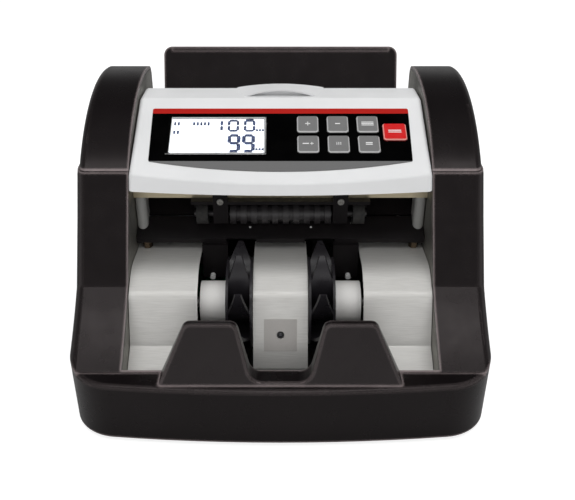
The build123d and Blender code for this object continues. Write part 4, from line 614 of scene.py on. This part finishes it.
def read_out():
    """Two lines of digits and the small state bars of the display."""
    v_mid, lift = face_place("display_module")[1:]
    low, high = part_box("display_window")
    ink_lift = lift + INK_LIFT
    parts = []
    for line in DIGIT_LINES:
        for place, character in enumerate(reversed(line.text)):
            sign = digit(character, line.width, line.height, line.stroke)
            u = high.x - line.margin - line.width / 2 - place * line.pitch
            onto_face(sign, u, v_mid + line.rise, ink_lift)
            parts.append(sign)
    for row in LEFT_MARKS:
        parts += mark_row(low.x + row.inset, v_mid + row.rise, ink_lift, row.count)
    for row in RIGHT_MARKS:
        parts += mark_row(high.x - row.inset, v_mid + row.rise, ink_lift, row.count)
    settle(join(parts), "display_digits", ink, "housing")


read_out()


# ------------------------------------------------------------------ window rim and key signs
# Widths of the mask's left, right, foot and top strips.
MASK_SIDES = (2.4 * MM, 0.5 * MM, 0.3 * MM, 1.1 * MM)
MASK_BLACK = (0.001, 0.001, 0.001)
mask_print = moulded("mask_print", MASK_BLACK, (0.0015, 0.0015, 0.0015), 0.3, specular=0.02)
rim_print = moulded("rim_print", (0.62, 0.63, 0.64), (0.55, 0.56, 0.57), 0.4)
sign_ink = moulded("sign_print", (0.86, 0.86, 0.86), (0.8, 0.8, 0.8), 0.5)


def border(u_range, v_range, sides):
    """Four flat strips inside a rectangle; sides gives the widths left, right, foot and top."""
    (left, right), (foot, top) = u_range, v_range
    width_left, width_right, width_foot, width_top = sides
    strips = []
    for u_low, u_high, v_low, v_high in (
        (left, left + width_left, foot, top),
        (right - width_right, right, foot, top),
        (left, right, foot, foot + width_foot),
        (left, right, top - width_top, top),
    ):
        deselect()
        size = (u_high - u_low, v_high - v_low, PRINT_SHEET)
        bpy.ops.mesh.primitive_cube_add(size=1, scale=size)
        strip = bpy.context.object
        strip.location = ((u_low + u_high) / 2, (v_low + v_high) / 2, 0)
        bpy.ops.object.transform_apply(location=True, rotation=False, scale=True)
        strips.append(strip)
    return join(strips)


def window_rim():
    """Black printed mask under the window's edge and the light line inside it."""
    low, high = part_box("display_window")
    u, v, lift = face_place("display_window")
    points = [p.co for p in frame["nodes"]["display_window"].data.vertices]
    along = [p.dot(UP_SLOPE) for p in points]
    half_width, half_height = (high.x - low.x) / 2, (max(along) - min(along)) / 2
    mask = border((-half_width, half_width), (-half_height, half_height), MASK_SIDES)
    onto_face(mask, u, v, lift + PRINT_SHEET)
    settle(mask, "window_mask_print", mask_print, "housing")
    inner_u = (-half_width + MASK_SIDES[0], half_width - MASK_SIDES[1])
    inner_v = (-half_height + MASK_SIDES[2], half_height - MASK_SIDES[3])
    line = border(inner_u, inner_v, [WINDOW_RIM] * 4)
    onto_face(line, u, v, lift + PRINT_SHEET)
    settle(line, "window_rim_line", rim_print, "housing")


window_rim()


def bars_sign(spans):
    """Sign made of bars: (x, y, length, width) each, in millimetres."""
    bars = []
    for x, y, length, width in spans:
        bar = flat_bar(length * MM, width * MM)
        bar.location = (x * MM, y * MM, 0)
        bpy.ops.object.transform_apply(location=True, rotation=False, scale=False)
        bars.append(bar)
    return join(bars)


# Bars of each key's sign in millimetres: x, y, length, width.
KEY_SIGNS = {
    "key_plus": [(0, 0, 3.8, 0.9), (0, 0, 0.9, 3.8)],
    "key_minus": [(0, 0, 3.8, 0.9)],
    "key_batch": [(0, 1.5, 9.0, 0.7), (0, 0, 9.0, 0.7), (0, -1.5, 9.0, 0.7)],
    "key_add": [(-1.8, 0, 4.6, 0.9), (2.6, 0, 2.6, 0.7), (2.6, 0, 0.7, 2.6)],
    "key_mode": [(-1.4, 0, 0.9, 2.8), (0, 0, 0.9, 2.8), (1.4, 0, 0.9, 2.8)],
    "key_check": [(0, 0.8, 5.0, 0.8), (0, -0.8, 5.0, 0.8)],
    "key_restart": [(0, 0.9, 9.6, 0.8), (0, -0.9, 9.6, 0.8)],
}


def key_signs():
    """White sign on each key, riding with it."""
    for key, spans in KEY_SIGNS.items():
        u, v, lift = face_place(key)
        sign = bars_sign(spans)
        onto_face(sign, u, v, lift + PRINT_SHEET / 2)
        settle(sign, key + "_sign", sign_ink, key + "_body")


key_signs()


# ------------------------------------------------------------------ note sensors
SENSOR_FACE_DEPTH = 0.1 * MM
TONGUE_LEAN = radians(21.8)
EXIT_LEAN = radians(32.2)
TONGUE_OUT = Vector((0, -cos(TONGUE_LEAN), sin(TONGUE_LEAN)))
EXIT_OUT = Vector((0, -sin(EXIT_LEAN), cos(EXIT_LEAN)))
POCKET_LENS = 1.7 * MM
COUNT_LENS = 0.8 * MM
COUNT_LENS_FROM_MIDDLE = 10 * MM
LENS_SEGMENTS = 24
LENS_RINGS = 12
LENS_FLATNESS = 0.4
SMOOTH_ANGLE = radians(40)
PLATE_SQUARE = 23.5 * MM
PLATE_THICK = 0.3 * MM
PLATE_HOLE = 2.9 * MM
PLATE_LIFT = 0.25 * MM
TONGUE_REACH = 1.2 * PLATE_SQUARE
dark_lens = moulded("lens_dark", (0.02, 0.02, 0.024), (0.03, 0.03, 0.035), 0.15)
clear_lens = moulded("lens_clear", (0.5, 0.5, 0.5), (0.6, 0.6, 0.6), 0.2)
satin = brushed(
    "sensor_plate", (0.5, 0.48, 0.46), (0.45, 0.43, 0.41), 0.6, (1, 1, 1), metallic=0.3
)


def outer_place(node, direction, inside):
    """Middle of a node's outermost points along a direction, among those that pass a test."""
    points = [p.co for p in frame["nodes"][node].data.vertices if inside(p.co)]
    reach = max(p.dot(direction) for p in points)
    face = [p for p in points if p.dot(direction) > reach - SENSOR_FACE_DEPTH]
    corners = [(min(p[i] for p in face) + max(p[i] for p in face)) / 2 for i in range(3)]
    return Vector(corners)


def lens(name, place, direction, radius, finish):
    """Low dome that stands on a sensor's face."""
    deselect()
    bpy.ops.mesh.primitive_uv_sphere_add(
        segments=LENS_SEGMENTS, ring_count=LENS_RINGS, radius=radius
    )
    dome = bpy.context.object
    bpy.ops.object.mode_set(mode="EDIT")
    bpy.ops.mesh.select_all(action="SELECT")
    bpy.ops.mesh.bisect(plane_co=(0, 0, 0), plane_no=(0, 0, 1), use_fill=True, clear_inner=True)
    bpy.ops.mesh.select_all(action="SELECT")
    bpy.ops.transform.resize(value=(1, 1, LENS_FLATNESS), center_override=(0, 0, 0))
    bpy.ops.object.mode_set(mode="OBJECT")
    dome.location = place
    dome.rotation_euler = direction.to_track_quat("Z", "Y").to_euler()
    deselect()
    dome.select_set(True)
    bpy.context.view_layer.objects.active = dome
    bpy.ops.object.shade_smooth_by_angle(angle=SMOOTH_ANGLE)
    settle(dome, name, finish, "housing")


def pocket_sensor_plate():
    """Thin satin plate with a round hole, over the square recess of the centre plate."""
    middle = outer_place("note_sensors", TONGUE_OUT, lambda p: abs(p.x) < POCKET_LENS)
    tongue = outer_place(
        "stacker_centre_plate", TONGUE_OUT, lambda p: (p - middle).length < TONGUE_REACH
    )
    middle += TONGUE_OUT * (tongue - middle).dot(TONGUE_OUT)
    deselect()
    bpy.ops.mesh.primitive_cube_add(size=1, scale=(PLATE_SQUARE, PLATE_SQUARE, PLATE_THICK))
    plate = bpy.context.object
    bpy.ops.object.transform_apply(location=False, rotation=False, scale=True)
    deselect()
    bpy.ops.mesh.primitive_cylinder_add(vertices=48, radius=PLATE_HOLE, depth=4 * PLATE_THICK)
    drill = bpy.context.object
    cut = plate.modifiers.new("hole", "BOOLEAN")
    cut.operation = "DIFFERENCE"
    cut.object = drill
    deselect()
    plate.select_set(True)
    bpy.context.view_layer.objects.active = plate
    bpy.ops.object.modifier_apply(modifier=cut.name)
    bpy.data.objects.remove(drill)
    plate.location = middle + TONGUE_OUT * PLATE_LIFT
    plate.rotation_euler = TONGUE_OUT.to_track_quat("Z", "Y").to_euler()
    settle(plate, "pocket_sensor_plate", satin, "housing")
    lens("pocket_sensor_lens", middle, TONGUE_OUT, POCKET_LENS, dark_lens)


def count_sensor_lenses():
    """Small lenses of the two counting sensors in the exit bar."""
    for side, name in ((-1, "count_lens_left"), (1, "count_lens_right")):
        place = outer_place(
            "note_sensors", EXIT_OUT, lambda p: p.x * side > COUNT_LENS_FROM_MIDDLE
        )
        lens(name, place, EXIT_OUT, COUNT_LENS, clear_lens)


pocket_sensor_plate()
count_sensor_lenses()


# ------------------------------------------------------------------ floor, light and camera
FLOOR_SIZE = 60.0
FLOOR_GREY = (0.45, 0.45, 0.45, 1)
FLOOR_LIFT = 0.8


def floor():
    """Pale floor that takes the object's shadow."""
    deselect()
    bpy.ops.mesh.primitive_plane_add(size=FLOOR_SIZE, location=(0, 0, 0))
    plane = bpy.context.object
    plane.name = "floor"
    material = bpy.data.materials.new("floor_white")
    material.use_nodes = True
    tree = material.node_tree
    shader = tree.nodes["Principled BSDF"]
    shader.inputs["Base Color"].default_value = FLOOR_GREY
    shader.inputs["Roughness"].default_value = 0.9
    shader.inputs["Specular IOR Level"].default_value = 0.0
    shader.inputs["Emission Color"].default_value = (1, 1, 1, 1)
    seen = tree.nodes.new("ShaderNodeLightPath").outputs["Is Camera Ray"]
    lift = tree.nodes.new("ShaderNodeMath")
    lift.operation = "MULTIPLY"
    lift.inputs[1].default_value = FLOOR_LIFT
    tree.links.new(seen, lift.inputs[0])
    tree.links.new(lift.outputs[0], shader.inputs["Emission Strength"])
    plane.data.materials.append(material)


WORLD_LEVEL = 0.42
# Level in reflections by the direction's height, then by how far it points to the rear:
# from this share, to this share, level before, level after.
MIRRORED_FADE = (0.26, 0.5, 1.1, 0.3)
BEHIND_FADE = (0.0, 0.4, 1.0, 0.3)


def world():
    """White surroundings for the eye, softer as a light and dimmer in reflections."""
    made = bpy.data.worlds.new("studio")
    made.use_nodes = True
    tree = made.node_tree
    path = tree.nodes.new("ShaderNodeLightPath")
    direction = tree.nodes.new("ShaderNodeSeparateXYZ")
    tree.links.new(tree.nodes.new("ShaderNodeTexCoord").outputs["Generated"], direction.inputs[0])
    mirrored = tree.nodes.new("ShaderNodeMath")
    mirrored.operation = "MULTIPLY"
    for index, (axis, fade) in enumerate((("Z", MIRRORED_FADE), ("Y", BEHIND_FADE))):
        share = tree.nodes.new("ShaderNodeMapRange")
        for socket, value in zip(("From Min", "From Max", "To Min", "To Max"), fade):
            share.inputs[socket].default_value = value
        tree.links.new(direction.outputs[axis], share.inputs["Value"])
        tree.links.new(share.outputs[0], mirrored.inputs[index])
    level = tree.nodes.new("ShaderNodeMix")
    level.inputs["A"].default_value = WORLD_LEVEL
    tree.links.new(path.outputs["Is Glossy Ray"], level.inputs["Factor"])
    tree.links.new(mirrored.outputs[0], level.inputs["B"])
    level = level.outputs["Result"]
    for ray in ("Is Transmission Ray", "Is Camera Ray"):
        choice = tree.nodes.new("ShaderNodeMix")
        tree.links.new(path.outputs[ray], choice.inputs["Factor"])
        tree.links.new(level, choice.inputs["A"])
        choice.inputs["B"].default_value = 1.0
        level = choice.outputs["Result"]
    background = tree.nodes["Background"]
    background.inputs["Color"].default_value = (1, 1, 1, 1)
    tree.links.new(level, background.inputs["Strength"])
    bpy.context.scene.world = made


def softbox(name, place, target, size, power, mirrored=False):
    """Area lamp that looks at a point; mirrored lets glossy surfaces show it."""
    lamp = bpy.data.lights.new(name, "AREA")
    lamp.shape = "RECTANGLE"
    lamp.size, lamp.size_y = size
    lamp.energy = power
    holder = bpy.data.objects.new(name, lamp)
    holder.location = place
    holder.rotation_euler = (Vector(target) - Vector(place)).to_track_quat("-Z", "Y").to_euler()
    holder.visible_glossy = mirrored
    bpy.context.scene.collection.objects.link(holder)


EDGE_LIGHT_HEIGHT = 50.0
EDGE_LIGHT_SPREAD = 3.0
EDGE_LIGHT_STRENGTH = 0.12


def edge_light():
    """Distant lamp from the front that draws a bright line along rounded edges."""
    lamp = bpy.data.lights.new("edge_light", "SUN")
    lamp.angle = radians(EDGE_LIGHT_SPREAD)
    lamp.energy = EDGE_LIGHT_STRENGTH
    holder = bpy.data.objects.new("edge_light", lamp)
    holder.rotation_euler = (radians(90 - EDGE_LIGHT_HEIGHT), 0, 0)
    bpy.context.scene.collection.objects.link(holder)


CAMERA_PLACE = (0.0, -0.5164, 0.3933)
CAMERA_PITCH = 31.0
CAMERA_LENS = 48.83
CAMERA_SHIFT = 0.0122
CAMERA_NEAR = 0.01


def camera():
    """Camera in front of the machine, looking down on it."""
    optics = bpy.data.cameras.new("front_camera")
    optics.lens = CAMERA_LENS
    optics.shift_x = CAMERA_SHIFT
    optics.clip_start = CAMERA_NEAR
    eye = bpy.data.objects.new("front_camera", optics)
    eye.location = CAMERA_PLACE
    eye.rotation_euler = (radians(90 - CAMERA_PITCH), 0, 0)
    bpy.context.scene.collection.objects.link(eye)
    bpy.context.scene.camera = eye


FRONT_STRIP = {
    "place": (0, -0.52, 1.32),
    "target": (0, 0, 0.13),
    "size": (1.5, 0.25),
    "power": 3.2,
    "mirrored": True,
}
TOP_LIGHT = {
    "place": (0.1, 0.25, 1.6),
    "target": (0, 0, 0.1),
    "size": (1.4, 1.4),
    "power": 11.0,
}
FRONT_FILL = {
    "place": (0, -1.5, 0.55),
    "target": (0, 0, 0.1),
    "size": (1.6, 1.0),
    "power": 5.0,
}

floor()
world()
softbox("front_strip", **FRONT_STRIP)
softbox("top_light", **TOP_LIGHT)
softbox("front_fill", **FRONT_FILL)
edge_light()
camera()
bpy.context.scene.view_settings.view_transform = "Standard"
